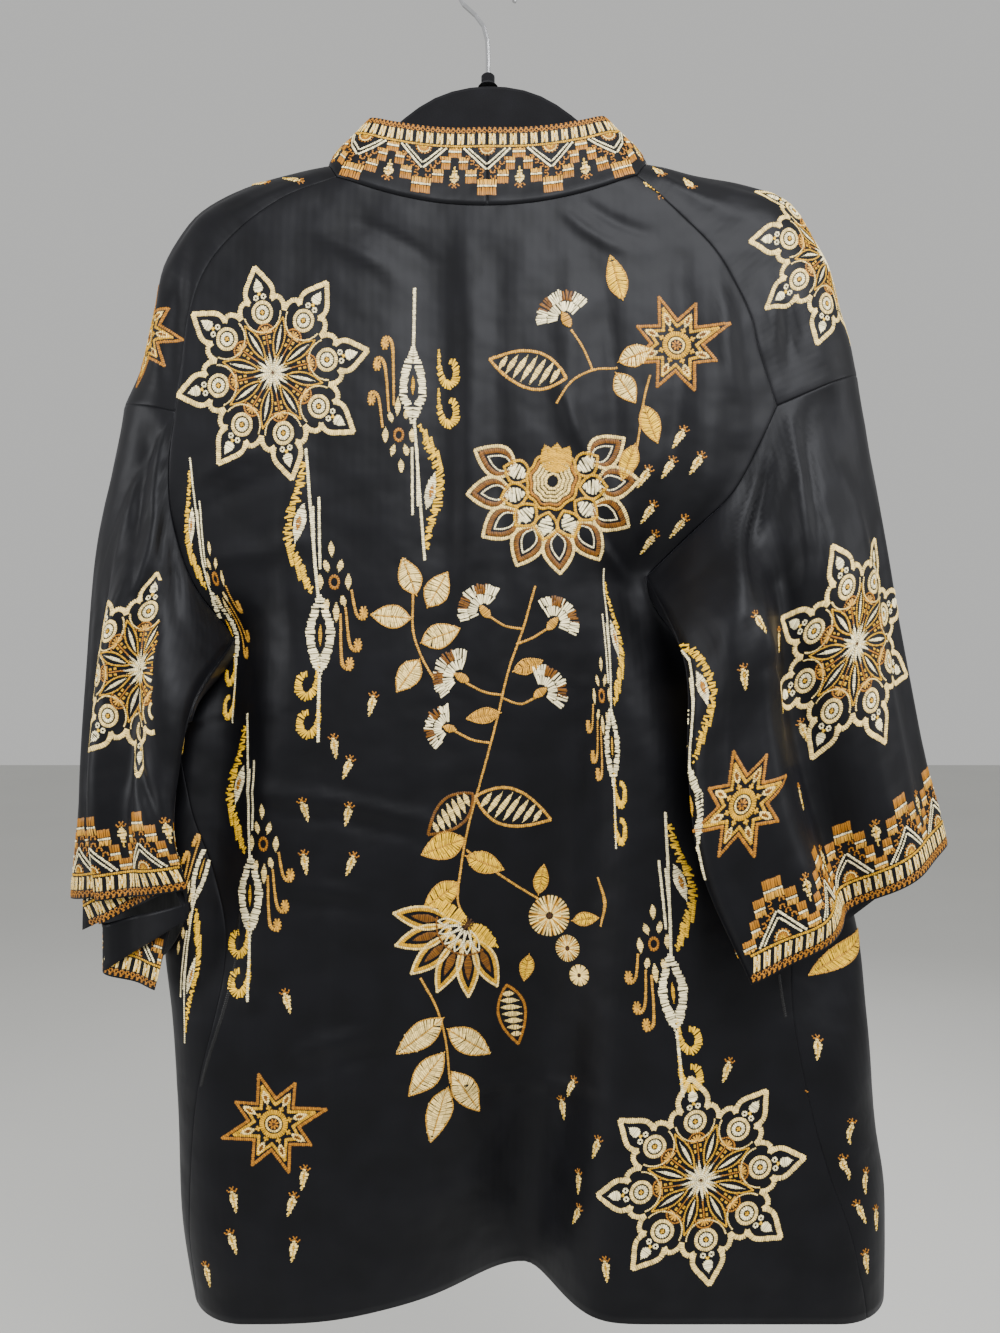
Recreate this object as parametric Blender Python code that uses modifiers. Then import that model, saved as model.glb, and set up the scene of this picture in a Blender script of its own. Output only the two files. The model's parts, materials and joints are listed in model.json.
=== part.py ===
"""A satin kimono jacket that hangs on a flocked shoulder hanger, seen from its back.

Frame: +Z up, +X to the wearer's right, the back of the jacket faces -Y.
The origin is the inside top of the hanger's hook, where a rod or a wall hook holds it.
Sizes are given in millimetres and turned to metres as the meshes are made.
"""
import math

import bmesh
import bpy
from mathutils import Vector

MM = 0.001

# Driving dimensions, in millimetres
CLOTH_WALL = 1.2
BAND_WALL = 2.8
SEAM_GAP = 0.7
SLEEVE_SEAM_GAP = 1.0
UNDERARM_GAP = 5.0
UNDERARM_SHARE = 0.2
FOLDED_SEAM_GAP = 1.3
HEM_LEVEL = -925.0
HANGER_THICKNESS = 9.0
HANGER_EDGE_ROUND = 2.9
HANGER_TILT_DEGREES = 1.0
WIRE_DIAMETER = 3.3
HOOK_INSIDE_RADIUS = 19.0

# How finely each piece is divided
RAGLAN_STEPS = 7
ARMHOLE_STEPS = 8
SIDE_STEPS = 15
BACK_COLUMNS = 22
FRONT_COLUMNS = 13
SADDLE_HALF_COLUMNS = 6
SLEEVE_STEPS = 12
FINE_STEPS = 90
BAND_COLUMNS = 3
HANGER_STEPS = 18
STUD_STEPS = 20
HOOK_STEPS = 22

# A distance that counts as far from any fold
FAR_AWAY = 1000.0


def table(columns, *rows):
    """Rows of numbers with named columns."""
    names = columns.split()
    return [dict(zip(names, row)) for row in rows]


# Lines in the plane of the garment: out = distance from the centre line, z = height.
# The shoulder ridge runs from the neck to the top of the drop seam.
RIDGE = {
    "right": table("out z", (110, -146), (148, -154), (176, -160), (197, -166), (212, -176),
                   (226, -197), (239, -228), (249, -263), (256, -294)),
    "left": table("out z", (110, -147), (133, -152), (160, -159), (182, -168), (202, -181),
                  (216, -200), (227, -224), (232, -252), (241, -290), (252, -315)),
}
# The raglan line on the back, from the neck seam to the drop seam.
RAGLAN = {
    "right": table("out z", (100, -163), (128, -190), (152, -215), (167, -241), (176, -262),
                   (181, -285), (192, -321)),
    "left": table("out z", (101, -164), (135, -178), (167, -202), (188, -228), (199, -260),
                  (203, -295), (207, -325)),
}
FRONT_RAGLAN_START = dict(out=114, z=-167)
# The drop seam below the raglan line, down to the underarm.
ARMHOLE = {
    "right": table("out z", (192, -321), (181, -345), (163, -378), (138, -403), (109, -432)),
    "left": table("out z", (207, -325), (211, -360), (209, -395), (196, -438), (174, -475)),
}
# The folded side of the body, from the underarm to the hem.
SIDE_FOLD = {
    "right": table("out z", (109, -432), (112, -448), (124, -466), (148, -488), (195, -540),
                   (235, -605), (258, -671), (265, -735), (270, -806), (277, -860), (276, -925)),
    "left": table("out z", (174, -475), (176, -488), (187, -502), (203, -519), (215, -545),
                  (226, -605), (227, -680), (221, -740), (217, -800), (214, -870), (205, -925)),
}
# How far in from that fold the side seam lies, on the back of the body.
SIDE_WRAP = {
    "right": table("z wrap", (-432, 0), (-500, 0), (-550, 18), (-620, 42), (-725, 60),
                   (-834, 47), (-893, 32), (-925, 25)),
    "left": table("z wrap", (-475, 0), (-530, 0), (-580, 20), (-640, 44), (-690, 50),
                  (-784, 24), (-860, 15), (-925, 9)),
}
# Where the neckband is sewn on, down the front, as a height and a distance out.
FRONT_SEAM = table("z out", (-163, 108), (-190, 106), (-250, 101), (-330, 96), (-440, 91),
                   (-600, 86), (-760, 81), (-925, 76))
# The neck seam hangs lower at centre back, and the rows of the back below it follow it.
NECK_LEVEL = -163.0
NECK_SAG = 21.0
NECK_SAG_ENDS = -350.0

# Depth of the body at each height: the side folds, the back and the front of the garment,
# and how far in from a fold the cloth takes to round over.
DEPTH = table("z side back front round",
              (-140, 0, -30, 24, 34),
              (-190, 0, -31, 24, 34),
              (-320, 0, -37, 26, 36),
              (-380, 0, -38, 28, 34),
              (-432, -13, -38, 30, 34),
              (-475, -13, -38, 31, 34),
              (-515, -3, -38, 32, 34),
              (-600, 4, -37, 35, 34),
              (-735, 9, -38, 42, 40),
              (-925, 8, -45, 50, 46))

# Folds of the body. Each starts at (x_top, z_top), ends at (x_low, z_low), is `left` and
# `right` wide on its two flanks, and pushes the cloth away from the viewer by `depth`,
# which grows from its top to its bottom.
BACK_FOLDS = table("x_top z_top x_low z_low left right depth_top depth_low grow",
                   (78, -400, 25, -925, 62, 30, 4, 70, 1.7),
                   (112, -440, 225, -690, 34, 36, 28, 14, 1.0),
                   (-60, -560, -62, -925, 40, 40, 0, 8, 1.0),
                   (-176, -480, -185, -680, 26, 26, 27, 10, 1.0),
                   (-35, -250, -20, -520, 22, 22, 5, 3, 1.0))
FRONT_FOLDS = table("x_top z_top x_low z_low left right depth_top depth_low grow",
                    (150, -380, 165, -925, 26, 34, 4, -13, 1.0),
                    (-140, -380, -150, -925, 30, 26, 3, -12, 1.0))

# Sections of the sleeves, from the drop seam (0) to the cuff (1): the fold on top of the
# arm, the underarm line, how far the near and the far layer swell from the line between
# them, and how far the far layer hangs below the near one.
SLEEVE = {
    "right": table("at top_x top_y top_z arm_x arm_y arm_z near far drop",
                   (0.00, 256, 0, -294, 109, -13, -432, 34, 6, 0),
                   (0.25, 268, -4, -369, 126, -62, -492, 26, 6, 0),
                   (0.50, 279, -10, -453, 127, -68, -560, 22, 10, 0),
                   (0.75, 293, -16, -535, 134, -78, -622, 20, 10, 3),
                   (1.00, 311, -22, -614, 163, -84, -690, 14, 10, 8)),
    "left": table("at top_x top_y top_z arm_x arm_y arm_z near far drop",
                  (0.00, -252, 0, -315, -174, -13, -475, 34, 6, 0),
                  (0.25, -267, 10, -400, -188, -58, -518, 28, 10, 2),
                  (0.50, -276, 16, -490, -196, -66, -568, 24, 12, 8),
                  (0.75, -284, 14, -580, -197, -71, -600, 22, 13, 22),
                  (1.00, -291, 8, -656, -190, -64, -636, 20, 14, 50)),
}
# Folds of the sleeves, on the near layer: `across` runs from the fold on top (0) to the
# underarm line (1), `out` is how far the cloth is pushed towards the viewer.
SLEEVE_FOLDS = {
    "right": table("across_top across_low wide at_from at_to out",
                   (0.60, 0.49, 0.10, 0.00, 1.00, -19),
                   (0.80, 0.74, 0.11, 0.00, 0.95, 15),
                   (0.33, 0.26, 0.13, 0.10, 1.00, 9)),
    "left": table("across_top across_low wide at_from at_to out",
                  (0.36, 0.36, 0.09, 0.05, 1.00, -7),
                  (0.57, 0.55, 0.10, 0.00, 1.00, 8),
                  (0.72, 0.69, 0.08, 0.00, 0.90, -8)),
}
# The share of a sleeve over which its rings turn from the seam's shape to their own.
SLEEVE_SEAM_FADE = 0.40
# How far the points of a ring move towards the fold on top once they leave the seam.
SLEEVE_FLOW = 0.35
SLEEVE_FLOW_REACH = 0.12

# The neckband stands on its seam line. Its free edge lies this far from the seam, from
# centre back (0) over the shoulder (1) and down the front to the hem (2). The crown is how
# far the middle of the band stands up from the straight line between its edges.
BAND_LEAN = table("at in_x in_y in_z crown",
                  (0.00, 0, 14, 59, 0),
                  (0.45, 5, 15, 55, 0),
                  (0.72, 18, 17, 49, 1),
                  (0.80, 22, 20, 44, 2),
                  (0.86, 25, 24, 38, 4),
                  (0.92, 30, 26, 33, 6),
                  (1.00, 40, 23, 24, 8),
                  (1.03, 46, 16, 15, 7),
                  (1.07, 51, 8, 5, 3),
                  (1.14, 54, 3, 1, 0),
                  (2.00, 54, 1, 0, 0))
BAND_SEAM_GAP = 0.3

# How much closer the points of a row stand near a folded edge, and within what distance.
FOLD_FINENESS = 2.0
FOLD_REACH = 30.0
# Below this height the sides of the body are folded edges.
UNDERARM_LEVEL = -445.0
# With less cloth than this round the side, the side seam lies on the fold itself.
LEAST_WRAP = 0.5
# The seam is wider on the fold: from this row above the underarm to that row below it.
ROWS_ABOVE = 1
ROWS_BELOW = 5

# Outline of half the hanger, from its top centre out along the top and back underneath.
HANGER_TOP = table("out z", (0, -89), (20, -91), (40, -98), (58, -110), (78, -127),
                   (104, -148), (140, -157), (170, -165), (192, -174), (204, -183))
HANGER_UNDER = table("out z", (204, -190), (188, -187), (160, -180), (130, -173), (96, -164),
                     (60, -150), (25, -141), (0, -139))
# The turned collar between bar and wire, and the wire's way from there to the hook.
STUD = table("radius z", (0, -80), (3.5, -80), (4.7, -81.2), (4.7, -86.2), (7, -88.7),
             (0, -88.7))
SHANK = table("out z", (0, -79.7), (0, -66), (-0.4, -56), (-3, -46), (-8.5, -38.5))
HOOK_FROM_DEGREES = 216.0
HOOK_TO_DEGREES = -28.0

COLOURS = {
    "satin": ((0.011, 0.011, 0.013), 0.42, 0.0),
    "band": ((0.36, 0.24, 0.13), 0.62, 0.0),
    "flock": ((0.006, 0.006, 0.007), 0.95, 0.0),
    "steel": ((0.62, 0.63, 0.65), 0.25, 1.0),
}


def smooth_between(before, a, b, after, t):
    """A value on the smooth curve from a to b, with its neighbours on both sides."""
    lead = 0.5 * (b - before)
    trail = 0.5 * (after - a)
    return ((2 * t ** 3 - 3 * t ** 2 + 1) * a + (t ** 3 - 2 * t ** 2 + t) * lead
            + (3 * t ** 2 - 2 * t ** 3) * b + (t ** 3 - t ** 2) * trail)


def along(rows, name, share):
    """The column `name` at a share (0 to 1) of the way through evenly counted rows."""
    place = max(0.0, min(share, 1.0)) * (len(rows) - 1)
    k = min(int(place), len(rows) - 2)
    values = [row[name] for row in rows]
    before = values[k - 1] if k > 0 else 2 * values[0] - values[1]
    after = values[k + 2] if k + 2 < len(rows) else 2 * values[-1] - values[-2]
    return smooth_between(before, values[k], values[k + 1], after, place - k)


def at(rows, key, name, value):
    """The column `name` where the column `key` has a value, smoothed between the rows."""
    keys = [row[key] for row in rows]
    rising = keys[-1] > keys[0]
    value = min(max(value, min(keys)), max(keys))
    k = 0
    while k < len(keys) - 2 and (value > keys[k + 1]) == rising:
        k += 1
    t = (value - keys[k]) / (keys[k + 1] - keys[k])
    t = max(0.0, min(t, 1.0))
    values = [row[name] for row in rows]
    before = values[k - 1] if k > 0 else values[0]
    after = values[k + 2] if k + 2 < len(rows) else values[-1]
    return smooth_between(before, values[k], values[k + 1], after, t)


def line_points(rows, steps):
    """Points (out, z) evenly spaced along the smooth line through a table of out and z."""
    fine = 40 * (len(rows) - 1)
    dense = [(along(rows, "out", i / fine), along(rows, "z", i / fine)) for i in range(fine + 1)]
    reach = [0.0]
    for (a, b), (c, d) in zip(dense, dense[1:]):
        reach.append(reach[-1] + math.hypot(c - a, d - b))
    points = []
    k = 0
    for i in range(steps + 1):
        goal = reach[-1] * i / steps
        while k < fine - 1 and reach[k + 1] < goal:
            k += 1
        t = (goal - reach[k]) / (reach[k + 1] - reach[k])
        points.append((dense[k][0] + (dense[k + 1][0] - dense[k][0]) * t,
                       dense[k][1] + (dense[k + 1][1] - dense[k][1]) * t))
    return points


def sign(side):
    """Which way is out along X on a side."""
    return 1.0 if side == "right" else -1.0


FOLD_LINES = {side: [line_points(RIDGE[side], 60), line_points(SIDE_FOLD[side], 90)]
              for side in ("right", "left")}


def distance_to_fold(x, z):
    """How far a place of the back or the front lies from the nearest folded edge."""
    side = "right" if x > 0 else "left"
    out = abs(x)
    best = 1e9
    for line in FOLD_LINES[side]:
        for (ax, az), (bx, bz) in zip(line, line[1:]):
            dx, dz = bx - ax, bz - az
            t = ((out - ax) * dx + (z - az) * dz) / (dx * dx + dz * dz)
            t = max(0.0, min(t, 1.0))
            best = min(best, math.hypot(out - ax - dx * t, z - az - dz * t))
    return best


def fold_push(folds, x, z):
    """How far the folds of one layer push the cloth away from the viewer at a place."""
    push = 0.0
    for fold in folds:
        t = (fold["z_top"] - z) / (fold["z_top"] - fold["z_low"])
        reach = max(0.0, min(t, 1.0))
        middle = fold["x_top"] + (fold["x_low"] - fold["x_top"]) * reach
        wide = fold["left"] if x < middle else fold["right"]
        depth = fold["depth_top"] + (fold["depth_low"] - fold["depth_top"]) * reach ** fold["grow"]
        fade_in = math.exp(-(max(0.0, -t) * 6.0) ** 2)
        fade_out = math.exp(-(max(0.0, t - 1.0) * 6.0) ** 2)
        push += depth * fade_in * fade_out * math.exp(-((x - middle) / wide) ** 2)
    return push


def body_point(x, z, face):
    """A point of the body: face is -1 on the back, 1 on the front and 0 on a folded edge."""
    side_y = at(DEPTH, "z", "side", z)
    if face == 0:
        return Vector((x, side_y, z)) * MM
    layer = at(DEPTH, "z", "back" if face < 0 else "front", z)
    layer += fold_push(BACK_FOLDS if face < 0 else FRONT_FOLDS, x, z)
    near = min(distance_to_fold(x, z) / at(DEPTH, "z", "round", z), 1.0)
    return Vector((x, side_y + (layer - side_y) * math.sqrt(1 - (1 - near) ** 2), z)) * MM


def edge_line(side, face):
    """The outer edge of a body panel: raglan line, drop seam, side seam, as (x, z)."""
    s = sign(side)
    raglan = list(RAGLAN[side])
    if face > 0:
        raglan[0] = FRONT_RAGLAN_START
    line = line_points(raglan, RAGLAN_STEPS)
    line += line_points(ARMHOLE[side], ARMHOLE_STEPS)[1:]
    top = line[-1][1]
    for i in range(1, SIDE_STEPS + 1):
        z = top + (HEM_LEVEL - top) * i / SIDE_STEPS
        wrap = max(0.0, at(SIDE_WRAP[side], "z", "wrap", z))
        line.append((at(SIDE_FOLD[side], "z", "out", z) - wrap, z))
    return [(s * out, z) for out, z in line]


def underarm(side):
    """The lowest point of the drop seam, where back, front and sleeve meet."""
    row = ARMHOLE[side][-1]
    return body_point(sign(side) * row["out"], row["z"], 0)


def spread(path, columns, from_fold):
    """Points along a dense path, closer together where the path is near a folded edge."""
    reach = [0.0]
    for k in range(1, len(path)):
        near = math.exp(-(0.5 * (from_fold[k] + from_fold[k - 1]) / FOLD_REACH) ** 2)
        reach.append(reach[-1] + (path[k] - path[k - 1]).length * (1 + FOLD_FINENESS * near))
    points = []
    k = 0
    for j in range(columns + 1):
        goal = reach[-1] * j / columns
        while k < len(path) - 2 and reach[k + 1] < goal:
            k += 1
        t = (goal - reach[k]) / (reach[k + 1] - reach[k])
        points.append(path[k].lerp(path[k + 1], t))
    return points


def pulled_in(grid, closed=False):
    """Moves the rim of a grid of points in, so that pieces stay apart at their seams."""
    step = 0.5 * SEAM_GAP * MM
    underarm_row = RAGLAN_STEPS + ARMHOLE_STEPS
    rows = [[point.copy() for point in row] for row in grid]
    for j in range(len(rows[0])):
        first = step
        if closed:
            from_underarm = abs(2 * j / len(rows[0]) - 1)
            extra = UNDERARM_GAP * max(0.0, 1 - from_underarm / UNDERARM_SHARE)
            first = (SLEEVE_SEAM_GAP + extra) * MM
        rows[0][j] += (grid[1][j] - grid[0][j]).normalized() * first
        rows[-1][j] += (grid[-2][j] - grid[-1][j]).normalized() * step
    if not closed:
        for i in range(len(rows)):
            on_fold = underarm_row - ROWS_ABOVE <= i <= underarm_row + ROWS_BELOW
            side = FOLDED_SEAM_GAP * MM if on_fold else step
            rows[i][0] += (grid[i][1] - grid[i][0]).normalized() * side
            rows[i][-1] += (grid[i][-2] - grid[i][-1]).normalized() * side
    return rows


def cloth_piece(name, grid, wall, colour, collection, closed=False):
    """A panel of cloth: a loft through a grid of points, given its wall by Solidify."""
    grid = pulled_in(grid, closed)
    mesh = bpy.data.meshes.new(name)
    shape = bmesh.new()
    rows = [[shape.verts.new(point) for point in row] for row in grid]
    across = len(rows[0])
    for i in range(len(rows) - 1):
        for j in range(across if closed else across - 1):
            k = (j + 1) % across
            shape.faces.new((rows[i][j], rows[i][k], rows[i + 1][k], rows[i + 1][j]))
    bmesh.ops.triangulate(shape, faces=shape.faces[:], quad_method="ALTERNATE")
    shape.to_mesh(mesh)
    shape.free()
    mesh.shade_smooth()
    piece = bpy.data.objects.new(name, mesh)
    collection.objects.link(piece)
    wall_maker = piece.modifiers.new("wall", "SOLIDIFY")
    wall_maker.thickness = wall * MM
    wall_maker.offset = 0.0
    wall_maker.use_rim = True
    wall_maker.use_even_offset = closed
    wall_maker.use_quality_normals = closed
    mesh.materials.append(material(colour))
    return piece


def material(name):
    """A plain finish, made once for each colour."""
    if name in bpy.data.materials:
        return bpy.data.materials[name]
    colour, roughness, metallic = COLOURS[name]
    finish = bpy.data.materials.new(name)
    finish.use_nodes = True
    shader = finish.node_tree.nodes["Principled BSDF"]
    shader.inputs["Base Color"].default_value = (*colour, 1.0)
    shader.inputs["Roughness"].default_value = roughness
    shader.inputs["Metallic"].default_value = metallic
    return finish


def side_seam_point(x, z):
    """A point of the side seam, which starts on the folded edge at the underarm."""
    side = "right" if x > 0 else "left"
    on_fold = at(SIDE_WRAP[side], "z", "wrap", z) < LEAST_WRAP
    return body_point(x, z, 0 if on_fold else -1)


def back_grid():
    """Rows of points across the back panel, from the neck seam down to the hem."""
    grid = []
    for (lx, lz), (rx, rz) in zip(edge_line("left", -1), edge_line("right", -1)):
        height = 0.5 * (lz + rz)
        sag = NECK_SAG * max(0.0, (height - NECK_SAG_ENDS) / (NECK_LEVEL - NECK_SAG_ENDS)) ** 1.5
        path, from_fold = [], []
        for j in range(FINE_STEPS + 1):
            s = j / FINE_STEPS
            x = lx + (rx - lx) * s
            z = lz + (rz - lz) * s - sag * (1 - (2 * s - 1) ** 2)
            path.append(body_point(x, z, -1))
            folded = height < UNDERARM_LEVEL
            from_fold.append(distance_to_fold(x, z) if folded else FAR_AWAY)
        if len(grid) >= RAGLAN_STEPS + ARMHOLE_STEPS:
            path[0], path[-1] = side_seam_point(lx, lz), side_seam_point(rx, rz)
        grid.append(spread(path, BACK_COLUMNS, from_fold))
    return grid


def front_grid(side):
    """Rows from the neckband seam out to the raglan line or the drop seam, or round the side."""
    s = sign(side)
    grid = []
    for i, (x, z) in enumerate(edge_line(side, 1)):
        inner = s * at(FRONT_SEAM, "z", "out", z)
        round_the_side = i >= RAGLAN_STEPS + ARMHOLE_STEPS
        outer = s * at(SIDE_FOLD[side], "z", "out", z) if round_the_side else x
        path, from_fold = [], []
        for j in range(FINE_STEPS + 1):
            place = inner + (outer - inner) * math.sin(0.5 * math.pi * j / FINE_STEPS)
            face = 0 if round_the_side and j == FINE_STEPS else 1
            path.append(body_point(place, z, face))
            from_fold.append(abs(outer - place) if round_the_side else FAR_AWAY)
        wrap = FINE_STEPS // 2 if round_the_side and abs(x - outer) > LEAST_WRAP else 0
        for j in range(1, wrap + 1):
            place = outer + (x - outer) * (1 - math.cos(0.5 * math.pi * j / wrap))
            path.append(body_point(place, z, -1))
            from_fold.append(abs(outer - place))
        grid.append(spread(path, FRONT_COLUMNS, from_fold))
    return grid


def saddle_grid(side):
    """Rows over the shoulder, back to front, from the neck out to the drop seam."""
    s = sign(side)
    ridge = line_points(RIDGE[side], RAGLAN_STEPS)
    grid = []
    for i in range(RAGLAN_STEPS + 1):
        rx, rz = s * ridge[i][0], ridge[i][1]
        row = []
        for face in (-1, 1):
            x, z = edge_line(side, face)[i]
            half = []
            for j in range(1, SADDLE_HALF_COLUMNS + 1):
                t = 1 - math.cos(0.5 * math.pi * j / SADDLE_HALF_COLUMNS)
                half.append(body_point(rx + (x - rx) * t, rz + (z - rz) * t, face))
            row = half[::-1] + [body_point(rx, rz, 0)] if face < 0 else row + half
        grid.append(row)
    return grid


def drop_seam_loop(side):
    """The drop seam from the top of the shoulder down the back to the underarm and back up."""
    end = saddle_grid(side)[-1]
    middle = SADDLE_HALF_COLUMNS
    first, last = RAGLAN_STEPS + 1, RAGLAN_STEPS + ARMHOLE_STEPS
    near = [body_point(x, z, -1) for x, z in edge_line(side, -1)[first:last]]
    far = [body_point(x, z, 1) for x, z in edge_line(side, 1)[first:last]]
    return (end[middle::-1] + near + [underarm(side)], end[middle:] + far + [underarm(side)])


def shares_of_length(points):
    """How far along a line of points each one lies, from 0 to 1."""
    reach = [0.0]
    for a, b in zip(points, points[1:]):
        reach.append(reach[-1] + (b - a).length)
    return [r / reach[-1] for r in reach]


def sleeve_point(side, t, across, near):
    """A point of a sleeve: t runs to the cuff, `across` from the top fold to the underarm."""
    rows = SLEEVE[side]

    def line_end(name, t):
        return Vector([along(rows, name + axis, t) for axis in ("_x", "_y", "_z")])

    top, arm = line_end("top", t), line_end("arm", t)
    ahead = min(t + 0.05, 1.0)
    behind = ahead - 0.1
    run = line_end("top", ahead) + line_end("arm", ahead) - line_end("top", behind)
    run -= line_end("arm", behind)
    outward = run.cross(arm - top).normalized()
    if outward.y > 0:
        outward.negate()
    swell = math.sqrt(max(0.0, 1 - (2 * across - 1) ** 2))
    point = top + (arm - top) * across
    if not near:
        point -= outward * along(rows, "far", t) * swell
        point.z -= along(rows, "drop", t) * swell * swell
        return point * MM
    push = along(rows, "near", t) * swell
    for fold in SLEEVE_FOLDS[side]:
        middle = fold["across_top"] + (fold["across_low"] - fold["across_top"]) * t
        fade = min(1.0, max(0.0, (t - fold["at_from"]) / 0.25))
        fade *= min(1.0, max(0.0, (fold["at_to"] + 0.15 - t) / 0.15))
        push += fold["out"] * fade * swell * math.exp(-((across - middle) / fold["wide"]) ** 2)
    return (point + outward * push) * MM


def sleeve_grid(side):
    """Rings of points from the drop seam to the cuff."""
    halves = drop_seam_loop(side)
    grid = []
    for i in range(SLEEVE_STEPS + 1):
        t = i / SLEEVE_STEPS
        ring = []
        for seam, near in zip(halves, (True, False)):
            shares = shares_of_length(seam)
            half = []
            for point, across in zip(seam, shares):
                reach = SLEEVE_SEAM_FADE * (1.0 if near else 1.0 - 0.7 * across)
                fade = max(0.0, 1 - t / reach) ** 2
                shift = point - sleeve_point(side, 0.0, across, near)
                flow = SLEEVE_FLOW * min(1.0, t / SLEEVE_FLOW_REACH) * (1 - across)
                half.append(sleeve_point(side, t, across * (1 - flow), near) + shift * fade)
            ring += half[:-1] if near else half[:0:-1]
        grid.append(ring)
    return grid


def band_grid(side):
    """Rows across the neckband, from its seam to its free edge, along its whole length."""
    s = sign(side)
    middle = BACK_COLUMNS // 2
    neck = back_grid()[0]
    neck = neck[middle:] if side == "right" else neck[middle::-1]
    over = saddle_grid(side)[0]
    front = [row[0] for row in front_grid(side)]
    seam = neck + over[1:-1] + front
    ridge_at = len(neck) - 1 + SADDLE_HALF_COLUMNS
    before, after = shares_of_length(seam[:ridge_at + 1]), shares_of_length(seam[ridge_at:])
    stations = before + [1 + share for share in after[1:]]
    grid = []
    for point, station in zip(seam, stations):
        lean = Vector((-s * at(BAND_LEAN, "at", "in_x", station),
                       at(BAND_LEAN, "at", "in_y", station),
                       at(BAND_LEAN, "at", "in_z", station))) * MM
        crown = Vector((s * 0.7, 0, 0.7)) * at(BAND_LEAN, "at", "crown", station) * MM
        start = BAND_SEAM_GAP * MM / lean.length
        row = []
        for j in range(BAND_COLUMNS + 1):
            t = start + (1 - start) * j / BAND_COLUMNS
            row.append(point + lean * t + crown * math.sin(math.pi * t))
        grid.append(row)
    return grid


def hanger_body(collection):
    """The flocked shoulder bar: a flat outline given its thickness and a rounded edge."""
    half = line_points(HANGER_TOP, HANGER_STEPS) + line_points(HANGER_UNDER, HANGER_STEPS)
    outline = [(out, z) for out, z in half[:-1]]
    outline += [(-out, z) for out, z in half[:0:-1]]
    curve = bpy.data.curves.new("hanger_body", "CURVE")
    curve.dimensions = "2D"
    curve.fill_mode = "BOTH"
    spline = curve.splines.new("POLY")
    spline.points.add(len(outline) - 1)
    slope = math.tan(math.radians(HANGER_TILT_DEGREES))
    for point, (x, z) in zip(spline.points, outline):
        point.co = (x * MM, (z + x * slope) * MM, 0, 1)
    spline.use_cyclic_u = True
    curve.extrude = (0.5 * HANGER_THICKNESS - HANGER_EDGE_ROUND) * MM
    curve.bevel_depth = HANGER_EDGE_ROUND * MM
    curve.offset = -HANGER_EDGE_ROUND * MM
    curve.bevel_resolution = 1
    bar = bpy.data.objects.new("hanger_body", curve)
    bar.rotation_euler = (math.radians(90), 0, 0)
    collection.objects.link(bar)
    curve.materials.append(material("flock"))
    return bar


def hanger_stud(collection):
    """The small turned collar that the wire is screwed into."""
    mesh = bpy.data.meshes.new("hanger_stud")
    shape = bmesh.new()
    corners = [shape.verts.new((row["radius"] * MM, 0, row["z"] * MM)) for row in STUD]
    for a, b in zip(corners, corners[1:]):
        shape.edges.new((a, b))
    shape.to_mesh(mesh)
    shape.free()
    stud = bpy.data.objects.new("hanger_stud", mesh)
    collection.objects.link(stud)
    screw = stud.modifiers.new("turned", "SCREW")
    screw.steps = STUD_STEPS
    screw.render_steps = STUD_STEPS
    screw.use_merge_vertices = True
    screw.merge_threshold = 0.00005
    mesh.materials.append(material("flock"))
    return stud


def hanger_hook(collection):
    """The wire: a straight shank, a soft bend to one side and a round hook over the rod."""
    radius = HOOK_INSIDE_RADIUS + 0.5 * WIRE_DIAMETER
    turn = HOOK_TO_DEGREES - HOOK_FROM_DEGREES
    route = [(row["out"], row["z"]) for row in SHANK]
    for i in range(HOOK_STEPS + 1):
        angle = math.radians(HOOK_FROM_DEGREES + turn * i / HOOK_STEPS)
        route.append((radius * math.cos(angle), radius * math.sin(angle) - HOOK_INSIDE_RADIUS))
    curve = bpy.data.curves.new("hanger_hook", "CURVE")
    curve.dimensions = "3D"
    spline = curve.splines.new("POLY")
    spline.points.add(len(route) - 1)
    for point, (x, z) in zip(spline.points, route):
        point.co = (x * MM, 0, z * MM, 1)
    curve.bevel_depth = 0.5 * WIRE_DIAMETER * MM
    curve.bevel_resolution = 2
    curve.use_fill_caps = True
    hook = bpy.data.objects.new("hanger_hook", curve)
    collection.objects.link(hook)
    curve.materials.append(material("steel"))
    return hook


def build():
    """Clears the scene and makes every piece in one collection."""
    for thing in list(bpy.data.objects):
        bpy.data.objects.remove(thing)
    collection = bpy.data.collections.new("kimono_jacket")
    bpy.context.scene.collection.children.link(collection)
    cloth_piece("back", back_grid(), CLOTH_WALL, "satin", collection)
    for side in ("left", "right"):
        cloth_piece("front_" + side, front_grid(side), CLOTH_WALL, "satin", collection)
        cloth_piece("shoulder_" + side, saddle_grid(side), CLOTH_WALL, "satin", collection)
        cloth_piece("sleeve_" + side, sleeve_grid(side), CLOTH_WALL, "satin", collection, True)
        cloth_piece("neckband_" + side, band_grid(side), BAND_WALL, "band", collection)
    hanger_body(collection)
    hanger_stud(collection)
    hanger_hook(collection)


build()
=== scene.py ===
# %% [markdown]
# # A black satin kimono jacket on a flocked hanger
# The jacket hangs open on a shoulder hanger and is seen from its back. It is cut from satin:
# a back, two fronts, two shoulder pieces, two wide sleeves and a folded neckband. All of it
# is worked with bands and motifs of satin stitch in cream, gold, copper and rust thread.
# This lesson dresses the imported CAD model, which is the frame that everything sits on.
# The file is in cells: read the words of a cell, then run the code below them.

# %% Load the frame
import json
import math

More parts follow.
